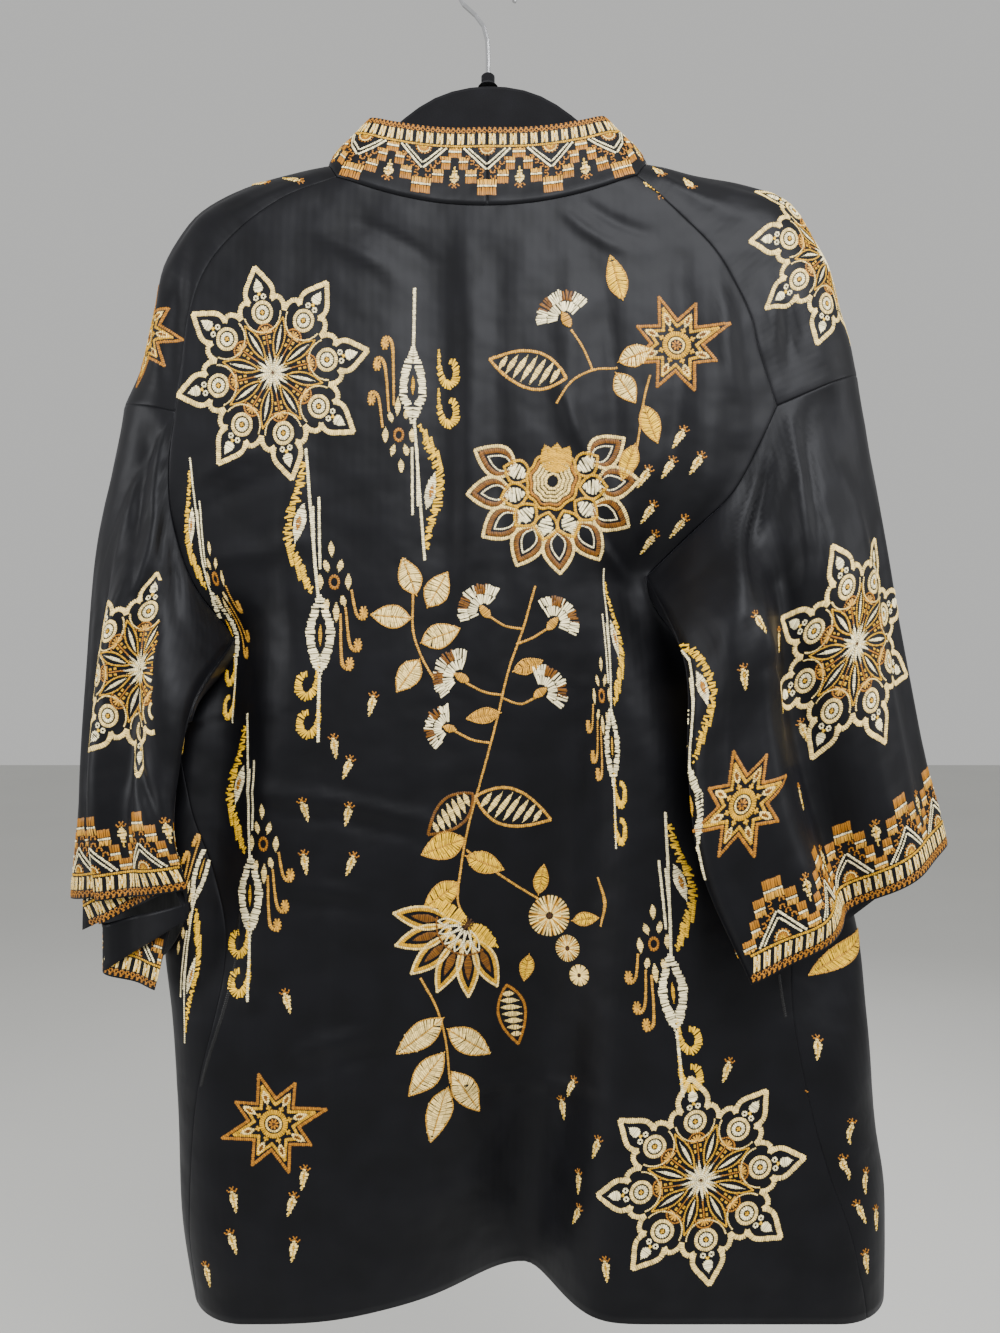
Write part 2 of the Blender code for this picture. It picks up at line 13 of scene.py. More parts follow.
import bpy
import numpy as np
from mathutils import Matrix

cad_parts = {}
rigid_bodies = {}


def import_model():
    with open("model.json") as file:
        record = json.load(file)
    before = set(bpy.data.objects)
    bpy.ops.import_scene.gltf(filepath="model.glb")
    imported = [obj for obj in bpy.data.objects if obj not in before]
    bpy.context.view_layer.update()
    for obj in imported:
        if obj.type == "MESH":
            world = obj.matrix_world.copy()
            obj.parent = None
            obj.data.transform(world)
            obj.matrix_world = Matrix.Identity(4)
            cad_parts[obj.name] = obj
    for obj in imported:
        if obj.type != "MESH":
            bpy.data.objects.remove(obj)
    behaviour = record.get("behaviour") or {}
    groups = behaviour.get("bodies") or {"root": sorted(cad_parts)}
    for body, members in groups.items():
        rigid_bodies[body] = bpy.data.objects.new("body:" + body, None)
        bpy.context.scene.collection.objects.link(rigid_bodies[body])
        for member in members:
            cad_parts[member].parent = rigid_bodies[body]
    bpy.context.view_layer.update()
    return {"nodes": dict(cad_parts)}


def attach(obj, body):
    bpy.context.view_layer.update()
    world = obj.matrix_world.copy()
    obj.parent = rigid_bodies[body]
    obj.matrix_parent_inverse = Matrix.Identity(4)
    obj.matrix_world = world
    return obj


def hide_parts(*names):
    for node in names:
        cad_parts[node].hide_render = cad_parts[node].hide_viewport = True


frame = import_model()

MM = 0.001
LUCK = np.random.default_rng(7)

# %% [markdown]
# ## The camera
# The photo was taken from quite near, 0.7 m from the hanger and level with the middle of
# the jacket, with a wide lens: its hem and hook nearly touch the edges of the picture.
# A frame 24 mm high and a lens as long as 1000/1333 of that give the photo's angle of view.
# A longer lens from farther off would frame the jacket too, but the lower sleeves stand
# nearer, and only a near camera shows them as large as the photo does.

# %% Set up the camera
CAMERA_PLACE = (0.0084, -0.70, -0.494)
FRAME_HEIGHT_MM = 24.0
PHOTO_WIDTH, PHOTO_HEIGHT = 1000, 1333
camera = bpy.data.objects.new("camera", bpy.data.cameras.new("camera"))
camera.location = CAMERA_PLACE
camera.rotation_euler = (math.radians(90), 0, 0)
camera.data.sensor_fit = "VERTICAL"
camera.data.sensor_height = FRAME_HEIGHT_MM
camera.data.lens = FRAME_HEIGHT_MM * PHOTO_WIDTH / PHOTO_HEIGHT
camera.data.clip_start = 0.02
bpy.context.scene.collection.objects.link(camera)
bpy.context.scene.camera = camera
print("angle of view", round(math.degrees(camera.data.angle_y), 1))

# %% [markdown]
# ## The cut, in short tables
# The jacket's lines were measured once for the CAD model. The same tables are used here,
# in millimetres, so that the fine cloth lies on the solids. A table is a set of named
# columns, and a smooth curve runs through the values of each column. The curves could be
# drawn as splines by hand, but a table can be read, and each number is one measure.

# %% Tables with named columns
def table(columns, *rows):
    """Rows of numbers as a dictionary of named columns."""
    return dict(zip(columns.split(), np.array(rows, float).T))


print("a table:", table("out z", (110, -146), (148, -154)))

# %% Seams and folded edges
RIDGE = {
    "right": table("out z",
        (110, -146), (148, -154), (176, -160), (197, -166), (212, -176), (226, -197), (239, -228),
        (249, -263), (256, -294)),
    "left": table("out z",
        (110, -147), (133, -152), (160, -159), (182, -168), (202, -181), (216, -200), (227, -224),
        (232, -252), (241, -290), (252, -315)),
}
RAGLAN = {
    "right": table("out z",
        (100, -163), (128, -190), (152, -215), (167, -241), (176, -262), (181, -285),
        (192, -321)),
    "left": table("out z",
        (101, -164), (135, -178), (167, -202), (188, -228), (199, -260), (203, -295),
        (207, -325)),
}
FRONT_RAGLAN_START = (114.0, -167.0)
ARMHOLE = {
    "right": table("out z",
        (192, -321), (181, -345), (163, -378), (138, -403), (109, -432)),
    "left": table("out z",
        (207, -325), (211, -360), (209, -395), (196, -438), (174, -475)),
}
SIDE_FOLD = {
    "right": table("out z",
        (109, -432), (112, -448), (124, -466), (148, -488), (195, -540), (235, -605), (258, -671),
        (265, -735), (270, -806), (277, -860), (276, -925)),
    "left": table("out z",
        (174, -475), (176, -488), (187, -502), (203, -519), (215, -545), (226, -605), (227, -680),
        (221, -740), (217, -800), (214, -870), (205, -925)),
}
SIDE_WRAP = {
    "right": table("z wrap",
        (-432, 0), (-500, 0), (-550, 18), (-620, 42), (-725, 60), (-834, 47), (-893, 32),
        (-925, 25)),
    "left": table("z wrap",
        (-475, 0), (-530, 0), (-580, 20), (-640, 44), (-690, 50), (-784, 24), (-860, 15),
        (-925, 9)),
}
FRONT_SEAM = table("z out",
    (-163, 108), (-190, 106), (-250, 101), (-330, 96), (-440, 91), (-600, 86), (-760, 81),
    (-925, 76))
print("side folds end at", [SIDE_FOLD[side]["out"][-1] for side in SIDE_FOLD])

# %% Depth and broad folds
DEPTH = table("z side back front round",
    (-140, 0, -30, 24, 34), (-190, 0, -31, 24, 34), (-320, 0, -37, 26, 36),
    (-380, 0, -38, 28, 34), (-432, -13, -38, 30, 34), (-475, -13, -38, 31, 34),
    (-515, -3, -38, 32, 34), (-600, 4, -37, 35, 34), (-735, 9, -38, 42, 40),
    (-925, 8, -45, 50, 46))
FOLD_COLUMNS = "x_top z_top x_low z_low left right depth_top depth_low grow"
BACK_FOLDS = table(FOLD_COLUMNS,
    (78, -400, 25, -925, 62, 30, 4, 70, 1.7), (112, -440, 225, -690, 34, 36, 28, 14, 1.0),
    (-60, -560, -62, -925, 40, 40, 0, 8, 1.0), (-176, -480, -185, -680, 26, 26, 27, 10, 1.0),
    (-35, -250, -20, -520, 22, 22, 5, 3, 1.0))
FRONT_FOLDS = table(FOLD_COLUMNS,
    (150, -380, 165, -925, 26, 34, 4, -13, 1.0), (-140, -380, -150, -925, 30, 26, 3, -12, 1.0))
print("broad folds in the back:", len(BACK_FOLDS["grow"]))

# %% Sections of the sleeves and the neckband
SLEEVE_COLUMNS = "at top_x top_y top_z arm_x arm_y arm_z near far drop"
SLEEVE = {
    "right": table(SLEEVE_COLUMNS,
        (0.00, 256, 0, -294, 109, -13, -432, 34, 6, 0),
        (0.25, 268, -4, -369, 126, -62, -492, 26, 6, 0),
        (0.50, 279, -10, -453, 127, -68, -560, 22, 10, 0),
        (0.75, 293, -16, -535, 134, -78, -622, 20, 10, 3),
        (1.00, 311, -22, -614, 163, -84, -690, 14, 10, 8)),
    "left": table(SLEEVE_COLUMNS,
        (0.00, -252, 0, -315, -174, -13, -475, 34, 6, 0),
        (0.25, -267, 10, -400, -188, -58, -518, 28, 10, 2),
        (0.50, -276, 16, -490, -196, -66, -568, 24, 12, 8),
        (0.75, -284, 14, -580, -197, -71, -600, 22, 13, 22),
        (1.00, -291, 8, -656, -190, -64, -636, 20, 14, 50)),
}
SLEEVE_FOLD_COLUMNS = "across_top across_low wide at_from at_to out"
SLEEVE_FOLDS = {
    "right": table(SLEEVE_FOLD_COLUMNS,
        (0.60, 0.49, 0.10, 0.00, 1.00, -19), (0.80, 0.74, 0.11, 0.00, 0.95, 15),
        (0.33, 0.26, 0.13, 0.10, 1.00, 9)),
    "left": table(SLEEVE_FOLD_COLUMNS,
        (0.36, 0.36, 0.09, 0.05, 1.00, -7), (0.57, 0.55, 0.10, 0.00, 1.00, 8),
        (0.72, 0.69, 0.08, 0.00, 0.90, -8)),
}
BAND_LEAN = table("at in_x in_y in_z crown",
    (0.00, 0, 14, 59, 0), (0.45, 5, 15, 55, 0), (0.72, 18, 17, 49, 1), (0.80, 22, 20, 44, 2),
    (0.86, 25, 24, 38, 4), (0.92, 30, 26, 33, 6), (1.00, 40, 23, 24, 8), (1.03, 46, 16, 15, 7),
    (1.07, 51, 8, 5, 3), (1.14, 54, 3, 1, 0), (2.00, 54, 1, 0, 0))
print("sections of a sleeve:", len(SLEEVE["left"]["at"]))

# %% Smooth curves through the tables
def glide(values, place, straight_ends):
    """A smooth curve through evenly counted values, read at fractional places."""
    first = 2 * values[0] - values[1] if straight_ends else values[0]
    last = 2 * values[-1] - values[-2] if straight_ends else values[-1]
    padded = np.concatenate([[first], values, [last]])
    k = np.clip(np.floor(place).astype(int), 0, len(values) - 2)
    t = place - k
    before, a, b, after = padded[k], padded[k + 1], padded[k + 2], padded[k + 3]
    return ((2 * t ** 3 - 3 * t ** 2 + 1) * a + (t ** 3 - 2 * t ** 2 + t) * 0.5 * (b - before)
            + (3 * t ** 2 - 2 * t ** 3) * b + (t ** 3 - t ** 2) * 0.5 * (after - a))


def along(rows, name, share):
    """A column at a share, 0 to 1, of the way through its rows."""
    return glide(rows[name], np.asarray(share, float) * (len(rows[name]) - 1), True)


def at(rows, key, name, value):
    """A column where another column has a value."""
    keys = rows[key] if rows[key][0] < rows[key][-1] else -rows[key]
    value = np.asarray(value, float) * (1 if rows[key][0] < rows[key][-1] else -1)
    value = np.clip(value, keys[0], keys[-1])
    k = np.clip(np.searchsorted(keys, value, side="right") - 1, 0, len(keys) - 2)
    return glide(rows[name], k + (value - keys[k]) / (keys[k + 1] - keys[k]), False)


def steps_of(line):
    """The lengths of the straight pieces of a line."""
    return np.linalg.norm(np.diff(line, axis=0), axis=1)


def unit(vectors):
    """Vectors of length 1 that point the same way."""
    return vectors / np.maximum(np.linalg.norm(vectors, axis=-1, keepdims=True), 1e-9)


def running(steps):
    """Running length at each point of a line: 0, then the sum of the steps so far."""
    return np.concatenate([[0], np.cumsum(steps)])


def read_line(line, reach, goal):
    """Points of a line at goals along its running length."""
    return np.stack([np.interp(goal, reach, column) for column in line.T], -1)


POINTS_TO_A_ROW = 40


def even_line(rows, steps):
    """Points (out, z) evenly spaced along the smooth line through a table."""
    share = np.linspace(0, 1, POINTS_TO_A_ROW * (len(rows["z"]) - 1) + 1)
    line = np.stack([along(rows, "out", share), along(rows, "z", share)], 1)
    reach = running(np.hypot(*np.diff(line, axis=0).T))
    return read_line(line, reach, np.linspace(0, reach[-1], steps + 1))


SIDES = ("left", "right")
FOLDED_EDGES = {side: [even_line(RIDGE[side], 60), even_line(SIDE_FOLD[side], 90)]
                for side in SIDES}
print("shoulder ridge starts at", FOLDED_EDGES["right"][0][0])

# %% [markdown]
# ## The body of the jacket
# A panel of cloth is a grid of points. Its outline comes from the tables, and its depth
# from one rule: the back and the front are two layers that meet in a rounded fold along
# the shoulders and the sides, and broad folds push a layer in or out. The cloth could be
# draped by a simulation, but a rule puts each fold where the photo shows it, every time.
# Working on whole arrays of points at once keeps a grid of some thousand points quick.

# %% Depth of the two layers
END_FADE = 6


def distance_to_fold(x, z):
    """How far places of the back or front lie from the nearest folded edge."""
    x, z = np.broadcast_arrays(np.asarray(x, float), np.asarray(z, float))
    best = np.full(x.shape, np.inf)
    for side, mine in (("right", x > 0), ("left", x <= 0)):
        out, height = np.abs(x[mine])[:, None], z[mine][:, None]
        nearest = np.full(len(out), np.inf)
        for line in FOLDED_EDGES[side]:
            (ax, az), (dx, dz) = line[:-1].T, np.diff(line, axis=0).T
            t = np.clip(((out - ax) * dx + (height - az) * dz) / (dx * dx + dz * dz), 0, 1)
            gap = np.hypot(out - ax - dx * t, height - az - dz * t)
            nearest = np.minimum(nearest, gap.min(axis=1))
        best[mine] = nearest
    return best


def fold_push(folds, x, z):
    """How far the folds of a layer push it away from the back's viewer."""
    push = np.zeros(np.shape(x))
    for k in range(len(folds["grow"])):
        fold = {name: column[k] for name, column in folds.items()}
        t = (fold["z_top"] - z) / (fold["z_top"] - fold["z_low"])
        reach = np.clip(t, 0, 1)
        middle = fold["x_top"] + (fold["x_low"] - fold["x_top"]) * reach
        wide = np.where(x < middle, fold["left"], fold["right"])
        depth = fold["depth_top"] + (fold["depth_low"] - fold["depth_top"]) * reach ** fold["grow"]
        above, below = np.maximum(0, -t) * END_FADE, np.maximum(0, t - 1) * END_FADE
        fade = np.exp(-above ** 2 - below ** 2)
        push += depth * fade * np.exp(-((x - middle) / wide) ** 2)
    return push


def body_points(x, z, face):
    """Points of the body: face is -1 on the back, 1 on the front, 0 on a folded edge."""
    x, z, face = np.broadcast_arrays(np.asarray(x, float), np.asarray(z, float), face)
    side = at(DEPTH, "z", "side", z)
    layer = np.where(face < 0, at(DEPTH, "z", "back", z) + fold_push(BACK_FOLDS, x, z),
                     at(DEPTH, "z", "front", z) + fold_push(FRONT_FOLDS, x, z))
    near = np.minimum(distance_to_fold(x, z) / at(DEPTH, "z", "round", z), 1)
    y = np.where(face == 0, side, side + (layer - side) * np.sqrt(1 - (1 - near) ** 2))
    return np.stack([x, y, z], -1)


print("middle of the back at waist height", body_points(0, -550, -1).round(1))

# %% [markdown]
# ## How finely the cloth is divided
# A crease of cloth is about 8 mm across, so a grid of 4 to 5 mm can just hold it. The rows
# run across each panel: first along the raglan seam, then the armhole, then the side. A
# plain grid with a fixed cell would leave ragged edges, so the rows follow the seams, and
# the columns lie closer together where a row comes near a folded edge.

# %% Rows and outlines
RAGLAN_ROWS, ARMHOLE_ROWS, SIDE_ROWS = 36, 36, 96
BACK_COLUMNS, FRONT_COLUMNS, SADDLE_HALF, SLEEVE_ROWS = 112, 70, 22, 84
HEM_LEVEL = -925.0
UNDERARM_LEVEL = -445.0
FOLD_FINENESS, FOLD_REACH, FOLD_STARTS_WITHIN, LEAST_WRAP = 2.0, 30.0, 110.0, 0.5
SIGN = {"right": 1.0, "left": -1.0}


def edge_line(side, face):
    """The outer edge of a body panel: raglan line, armhole, side seam, as x and z."""
    raglan = {name: column.copy() for name, column in RAGLAN[side].items()}
    if face > 0:
        raglan["out"][0], raglan["z"][0] = FRONT_RAGLAN_START
    top = [even_line(raglan, RAGLAN_ROWS), even_line(ARMHOLE[side], ARMHOLE_ROWS)[1:]]
    z = np.linspace(top[1][-1, 1], HEM_LEVEL, SIDE_ROWS + 1)[1:]
    wrap = np.maximum(0, at(SIDE_WRAP[side], "z", "wrap", z))
    top.append(np.stack([at(SIDE_FOLD[side], "z", "out", z) - wrap, z], 1))
    line = np.concatenate(top)
    return line * (SIGN[side], 1)


def spread(path, columns, from_fold, height):
    """Points along a dense path, closer together where it is near a folded edge."""
    near = np.exp(-(0.5 * (from_fold[1:] + from_fold[:-1]) / FOLD_REACH) ** 2)
    near *= np.clip((UNDERARM_LEVEL - height) / FOLD_STARTS_WITHIN, 0, 1) ** 2
    reach = running(steps_of(path) * (1 + FOLD_FINENESS * near))
    return read_line(path, reach, np.linspace(0, reach[-1], columns + 1))


def on_the_fold(side, z):
    """Whether the side seam lies on the folded edge at a height, not round behind it."""
    return at(SIDE_WRAP[side], "z", "wrap", z) < LEAST_WRAP


BODY_ROWS = RAGLAN_ROWS + ARMHOLE_ROWS + SIDE_ROWS + 1
BELOW_ARM = RAGLAN_ROWS + ARMHOLE_ROWS
print("a body panel has", BODY_ROWS, "rows")

# %% Lay out the back
NECK_LEVEL, NECK_SAG, NECK_SAG_ENDS = -163.0, 21.0, -350.0
BACK_SAMPLES = 361


def back_grid():
    """Rows of points across the back, from the neck seam down to the hem."""
    share = np.linspace(0, 1, BACK_SAMPLES)
    grid = []
    left, right = edge_line("left", -1), edge_line("right", -1)
    for i, ((lx, lz), (rx, rz)) in enumerate(zip(left, right)):
        height = 0.5 * (lz + rz)
        lift = max(0.0, (height - NECK_SAG_ENDS) / (NECK_LEVEL - NECK_SAG_ENDS))
        x = lx + (rx - lx) * share
        z = lz + (rz - lz) * share - NECK_SAG * lift ** 1.5 * (1 - (2 * share - 1) ** 2)
        path = body_points(x, z, -1)
        if i >= BELOW_ARM:
            for end, side, at_x, at_z in ((0, "left", lx, lz), (-1, "right", rx, rz)):
                path[end] = body_points(at_x, at_z, 0 if on_the_fold(side, at_z) else -1)
        grid.append(spread(path, BACK_COLUMNS, distance_to_fold(x, z), height))
    return np.array(grid)


BACK = back_grid()
print("back panel", BACK.shape, "from", BACK.min(axis=(0, 1)).round(), "to",
      BACK.max(axis=(0, 1)).round())

# %% Lay out the fronts
FRONT_SAMPLES = 241
FAR_AWAY = 1000.0


def front_grid(side):
    """Rows from the neckband seam out to the raglan seam or armhole, or round the side."""
    s = SIGN[side]
    share = np.linspace(0, 1, FRONT_SAMPLES)
    grid = []
    for i, (x, z) in enumerate(edge_line(side, 1)):
        inner = s * at(FRONT_SEAM, "z", "out", z)
        round_it = i >= BELOW_ARM
        outer = s * at(SIDE_FOLD[side], "z", "out", z) if round_it else x
        place = inner + (outer - inner) * np.sin(0.5 * np.pi * share)
        face = np.ones(len(share), int)
        if round_it:
            face[-1] = 0
        path = body_points(place, z, face)
        from_fold = np.abs(outer - place) if round_it else np.full(len(share), FAR_AWAY)
        if round_it and abs(x - outer) > LEAST_WRAP:
            back = outer + (x - outer) * (1 - np.cos(0.5 * np.pi * share[1:]))
            path = np.concatenate([path, body_points(back, z, -1)])
            from_fold = np.concatenate([from_fold, np.abs(outer - back)])
        grid.append(spread(path, FRONT_COLUMNS, from_fold, z))
    return np.array(grid)


FRONT = {side: front_grid(side) for side in SIDES}
print("front panels", FRONT["left"].shape)

# %% Lay out the shoulder pieces
def shoulder_grid(side):
    """Rows over the shoulder, back to front, from the neck out to the drop seam."""
    ridge = even_line(RIDGE[side], RAGLAN_ROWS) * (SIGN[side], 1)
    turn = 1 - np.cos(0.5 * np.pi * np.arange(1, SADDLE_HALF + 1) / SADDLE_HALF)
    halves = []
    for face in (-1, 1):
        edge = edge_line(side, face)[:RAGLAN_ROWS + 1]
        place = ridge[:, None] + (edge - ridge)[:, None] * turn[None, :, None]
        halves.append(body_points(place[..., 0], place[..., 1], face))
    middle = body_points(ridge[:, 0], ridge[:, 1], 0)[:, None]
    return np.concatenate([halves[0][:, ::-1], middle, halves[1]], axis=1)


SHOULDER = {side: shoulder_grid(side) for side in SIDES}
print("shoulder pieces", SHOULDER["left"].shape)

# %% [markdown]
# ## The sleeves
# A sleeve hangs from the drop seam as a tube of rings. Each ring has a near and a far
# layer between the fold on top of the arm and the underarm line, and its shape turns from
# the seam's to its own on the way down. The grid starts and ends at the underarm seam, so
# that a motif may run over the fold on top. A plain tube bent to shape would meet the
# shoulder in a step; rings that start as the seam itself meet it point by point.

# %% Rings of a sleeve
SEAM_FADE, FAR_SEAM_FADE, RING_FLOW, RING_FLOW_REACH = 0.40, 0.7, 0.35, 0.12
FOLD_FADES_IN, FOLD_FADES_OUT, WAY_STEP = 0.25, 0.15, 0.05


def sleeve_points(side, t, across, near):
    """Points of a sleeve: t runs to the cuff, across from the top fold to the underarm."""
    rows = SLEEVE[side]

    def line_end(name, t):
        """Where the ring's top fold or underarm line is, at t."""
        return np.stack([along(rows, name + axis, t) for axis in ("_x", "_y", "_z")], -1)

    across = np.asarray(across, float)
    top, arm = line_end("top", t), line_end("arm", t)
    ahead = min(t + WAY_STEP, 1.0)
    behind = ahead - 2 * WAY_STEP
    run = line_end("top", ahead) + line_end("arm", ahead)
    run -= line_end("top", behind) + line_end("arm", behind)
    outward = unit(np.cross(run, arm - top))
    outward *= -1 if outward[1] > 0 else 1
    swell = np.sqrt(np.maximum(0, 1 - (2 * across - 1) ** 2))[:, None]
    points = top + (arm - top) * across[:, None]
    if not near:
        points = points - outward * along(rows, "far", t) * swell
        points[:, 2] -= along(rows, "drop", t) * swell[:, 0] ** 2
        return points
    push = along(rows, "near", t) * swell
    folds = SLEEVE_FOLDS[side]
    for k in range(len(folds["out"])):
        fold = {name: column[k] for name, column in folds.items()}
        middle = fold["across_top"] + (fold["across_low"] - fold["across_top"]) * t
        fade = min(1.0, max(0.0, (t - fold["at_from"]) / FOLD_FADES_IN))
        fade *= min(1.0, max(0.0, (fold["at_to"] + FOLD_FADES_OUT - t) / FOLD_FADES_OUT))
        lobe = np.exp(-((across - middle) / fold["wide"]) ** 2)[:, None]
        push = push + fold["out"] * fade * swell * lobe
    return points + outward * push


print("the left cuff's fold on top is at", sleeve_points("left", 1.0, [0.0], True).round(0))

# %% Join the rings to the shoulder
def sleeve_grid(side):
    """Rings from the drop seam to the cuff, each from the underarm round the top and back."""
    end = SHOULDER[side][-1]
    seam = slice(RAGLAN_ROWS + 1, BELOW_ARM)
    arm = BACK[BELOW_ARM, -1 if side == "right" else 0]
    halves = []
    for near in (True, False):
        edge = edge_line(side, -1 if near else 1)[seam]
        half = end[SADDLE_HALF::-1] if near else end[SADDLE_HALF:]
        low = body_points(edge[:, 0], edge[:, 1], -1 if near else 1)
        halves.append(np.concatenate([half, low, arm[None]]))
    grid = []
    for i in range(SLEEVE_ROWS + 1):
        t = i / SLEEVE_ROWS
        ring = []
        for line, near in zip(halves, (True, False)):
            reach = running(steps_of(line))
            across = reach / reach[-1]
            fade = SEAM_FADE * (1 - (0 if near else FAR_SEAM_FADE) * across)
            fade = np.maximum(0, 1 - t / fade) ** 2
            shift = line - sleeve_points(side, 0.0, across, near)
            flow = RING_FLOW * min(1.0, t / RING_FLOW_REACH) * (1 - across)
            half = sleeve_points(side, t, across * (1 - flow), near) + shift * fade[:, None]
            ring.append(half[::-1] if near else half[1:])
        grid.append(np.concatenate(ring))
    return np.array(grid)


SLEEVES = {side: sleeve_grid(side) for side in SIDES}
print("sleeves", SLEEVES["left"].shape, "cuff round",
      round(float(steps_of(SLEEVES["right"][-1]).sum())), "mm")

# %% [markdown]
# ## The neckband
# The neckband is a strip folded in two along its free edge. It stands up round the back of
# the neck, rolls over the shoulders and lies flat down both fronts. Its grid runs from the
# seam to the free edge at every step of the seam, and a lean from the table gives the way.
# A bent box would be quicker, but would not turn from standing to lying along one seam.

# %% Lay the neckband along its seam
BAND_SHARES = np.append(np.linspace(0, 0.96, 17), (0.972, 0.983, 0.992, 0.998, 1.0))
BAND_START = -0.8
ROLL_OUT = 0.7


def band_grid(side):
    """Rows across the band, from its seam to its free edge, from centre back to the hem."""
    s = SIGN[side]
    middle = BACK_COLUMNS // 2
    neck = BACK[0, middle:] if side == "right" else BACK[0, middle::-1]
    over = SHOULDER[side][0]
    seam = np.concatenate([neck, over[1:-1], FRONT[side][:, 0]])
    ridge = len(neck) - 1 + SADDLE_HALF
    reach = running(steps_of(seam))
    station = np.where(reach <= reach[ridge], reach / reach[ridge],
                       1 + (reach - reach[ridge]) / (reach[-1] - reach[ridge]))
    lean = np.stack([-s * at(BAND_LEAN, "at", "in_x", station),
                     at(BAND_LEAN, "at", "in_y", station),
                     at(BAND_LEAN, "at", "in_z", station)], -1)
    crown = at(BAND_LEAN, "at", "crown", station)[:, None, None]
    start = BAND_START / np.linalg.norm(lean, axis=1)[:, None]
    t = (start + (1 - start) * BAND_SHARES)[..., None]
    return (seam[:, None] + lean[:, None] * t
            + np.array([s * ROLL_OUT, 0, ROLL_OUT]) * crown * np.sin(np.pi * t))


BAND = {side: band_grid(side) for side in SIDES}
print("neckband", BAND["right"].shape)

# %% [markdown]
# ## Panels with a flat measure
# Needlework is drawn on flat cloth. So each panel also carries two flat measures in
# millimetres: across, to the right as seen from outside, and down. With them a motif can
# be drawn flat and then found again on the hanging cloth, however it curves. Drawing it in
# space straight away, or throwing it onto the cloth from one side, would stretch it where
# the cloth turns away.

# %% Flat measures and normals
GRIDS = ("points", "normals", "across", "down")


def lengths(points, axis):
    """Running length along one axis of a grid."""
    steps = np.linalg.norm(np.diff(points, axis=axis), axis=-1)
    first = np.zeros_like(np.take(steps, [0], axis=axis))
    return np.concatenate([first, np.cumsum(steps, axis=axis)], axis=axis)


def make_panel(points, right_axis, right_sign, up_axis, up_sign, across, down):
    """A grid of points with its flat measures; signs say how the grid runs, seen outside."""
    cloth = dict(points=points, across=across, down=down, right=(right_axis, right_sign),
                 up=(up_axis, up_sign))
    cloth["normals"] = panel_normals(cloth)
    return cloth


def panel_normals(cloth):
    """Outward normals: the way to the right crossed with the way up."""
    ways = [np.gradient(cloth["points"], axis=axis) * sign
            for axis, sign in (cloth["right"], cloth["up"])]
    return unit(np.cross(*ways))


print("a panel keeps the grids", *GRIDS)

# %% Measure the back, the fronts, the sleeves, the shoulder pieces and the band
TOP_OF_RING = SADDLE_HALF + ARMHOLE_ROWS
MIDDLE_OF_BAND = 8


def body_panel(points, sign, zero_x=None):
    """Back or front: across is measured along each row, down is the height."""
    reach = lengths(points, 1)
    if zero_x is not None:
        zero = np.array([np.interp(zero_x, row[:, 0], r) for row, r in zip(points, reach)])
        reach = reach - zero[:, None]
    return make_panel(points, 1, sign, 0, -1, sign * reach, -points[..., 2])


def sleeve_panel(points, side):
    """Across is measured from the fold on top; down is 0 at the cuff and less above it."""
    reach = lengths(points, 1)
    reach = reach - reach[:, TOP_OF_RING, None]
    from_cuff = lengths(points[::-1], 0)[::-1]
    return make_panel(points, 1, SIGN[side], 0, -1, SIGN[side] * reach, -from_cuff)


def shoulder_panel(points, side):
    """Across is measured out along the ridge of the shoulder, down from the ridge."""
    ridge = lengths(points[:, SADDLE_HALF:SADDLE_HALF + 1], 0)
    across = np.broadcast_to(ridge, points.shape[:2]) * SIGN[side]
    reach = lengths(points, 1)
    return make_panel(points, 0, SIGN[side], 1, 1, across, reach[:, SADDLE_HALF, None] - reach)


def band_panel(points, side):
    """Across is measured along the middle of the band, down from its free edge."""
    middle = lengths(points[:, MIDDLE_OF_BAND:MIDDLE_OF_BAND + 1], 0)
    across = np.broadcast_to(middle, points.shape[:2]) * SIGN[side]
    reach = lengths(points, 1)
    return make_panel(points, 0, SIGN[side], 1, 1, across, reach[:, -1:] - reach)


print("the fold on top of a sleeve is column", TOP_OF_RING)

# %% [markdown]
# ## The gores and the turned cuff
# Under each arm the sleeve and the side of the body part, and a gore, a small three-cornered
# piece of cloth, fills the corner between them. The left cuff hangs turned back on itself,
# in layers. It could be a second sleeve end; one strip that turns twice, with its border
# sewn on, gives the same edges with less.

# %% Lay the gores and the turned cuff
GORE_SLEEVE_ROWS, GORE_SIDE_ROWS, GORE_SAG = 26, 12, 5.0


def gore_panel(side):
    """A small gore under the arm, between the sleeve's underarm line and the side fold."""
    share = np.linspace(0, 1, 15)[:, None]
    sleeve, body = SLEEVES[side][:, 0], BACK[BELOW_ARM:, -1 if side == "right" else 0]
    edges = [read_line(line, np.arange(len(line)), share[:, 0] * reach)
             for line, reach in ((sleeve, GORE_SLEEVE_ROWS), (body, GORE_SIDE_ROWS))]
    across = np.linspace(0, 1, 9)[None, :, None]
    points = edges[0][:, None] * (1 - across) + edges[1][:, None] * across
    points[..., 1] += GORE_SAG * np.sin(np.pi * across[..., 0]) * share
    if side == "right":
        points = points[:, ::-1]
    return make_panel(points, 1, SIGN[side], 0, -1, lengths(points, 1), -points[..., 2])


TURNED = table("x_top z_top x_low z_low back",
    (-203, -655, -217, -705, 15), (-255, -664, -255, -696, 12), (-192, -646, -192, -656, 9),
    (-200, -629, -200, -636, 7), (-276, -634, -277, -674, 5))
WAYS_ACROSS = ((1, 0), (-1, -510), (1, -126), (1, -126))


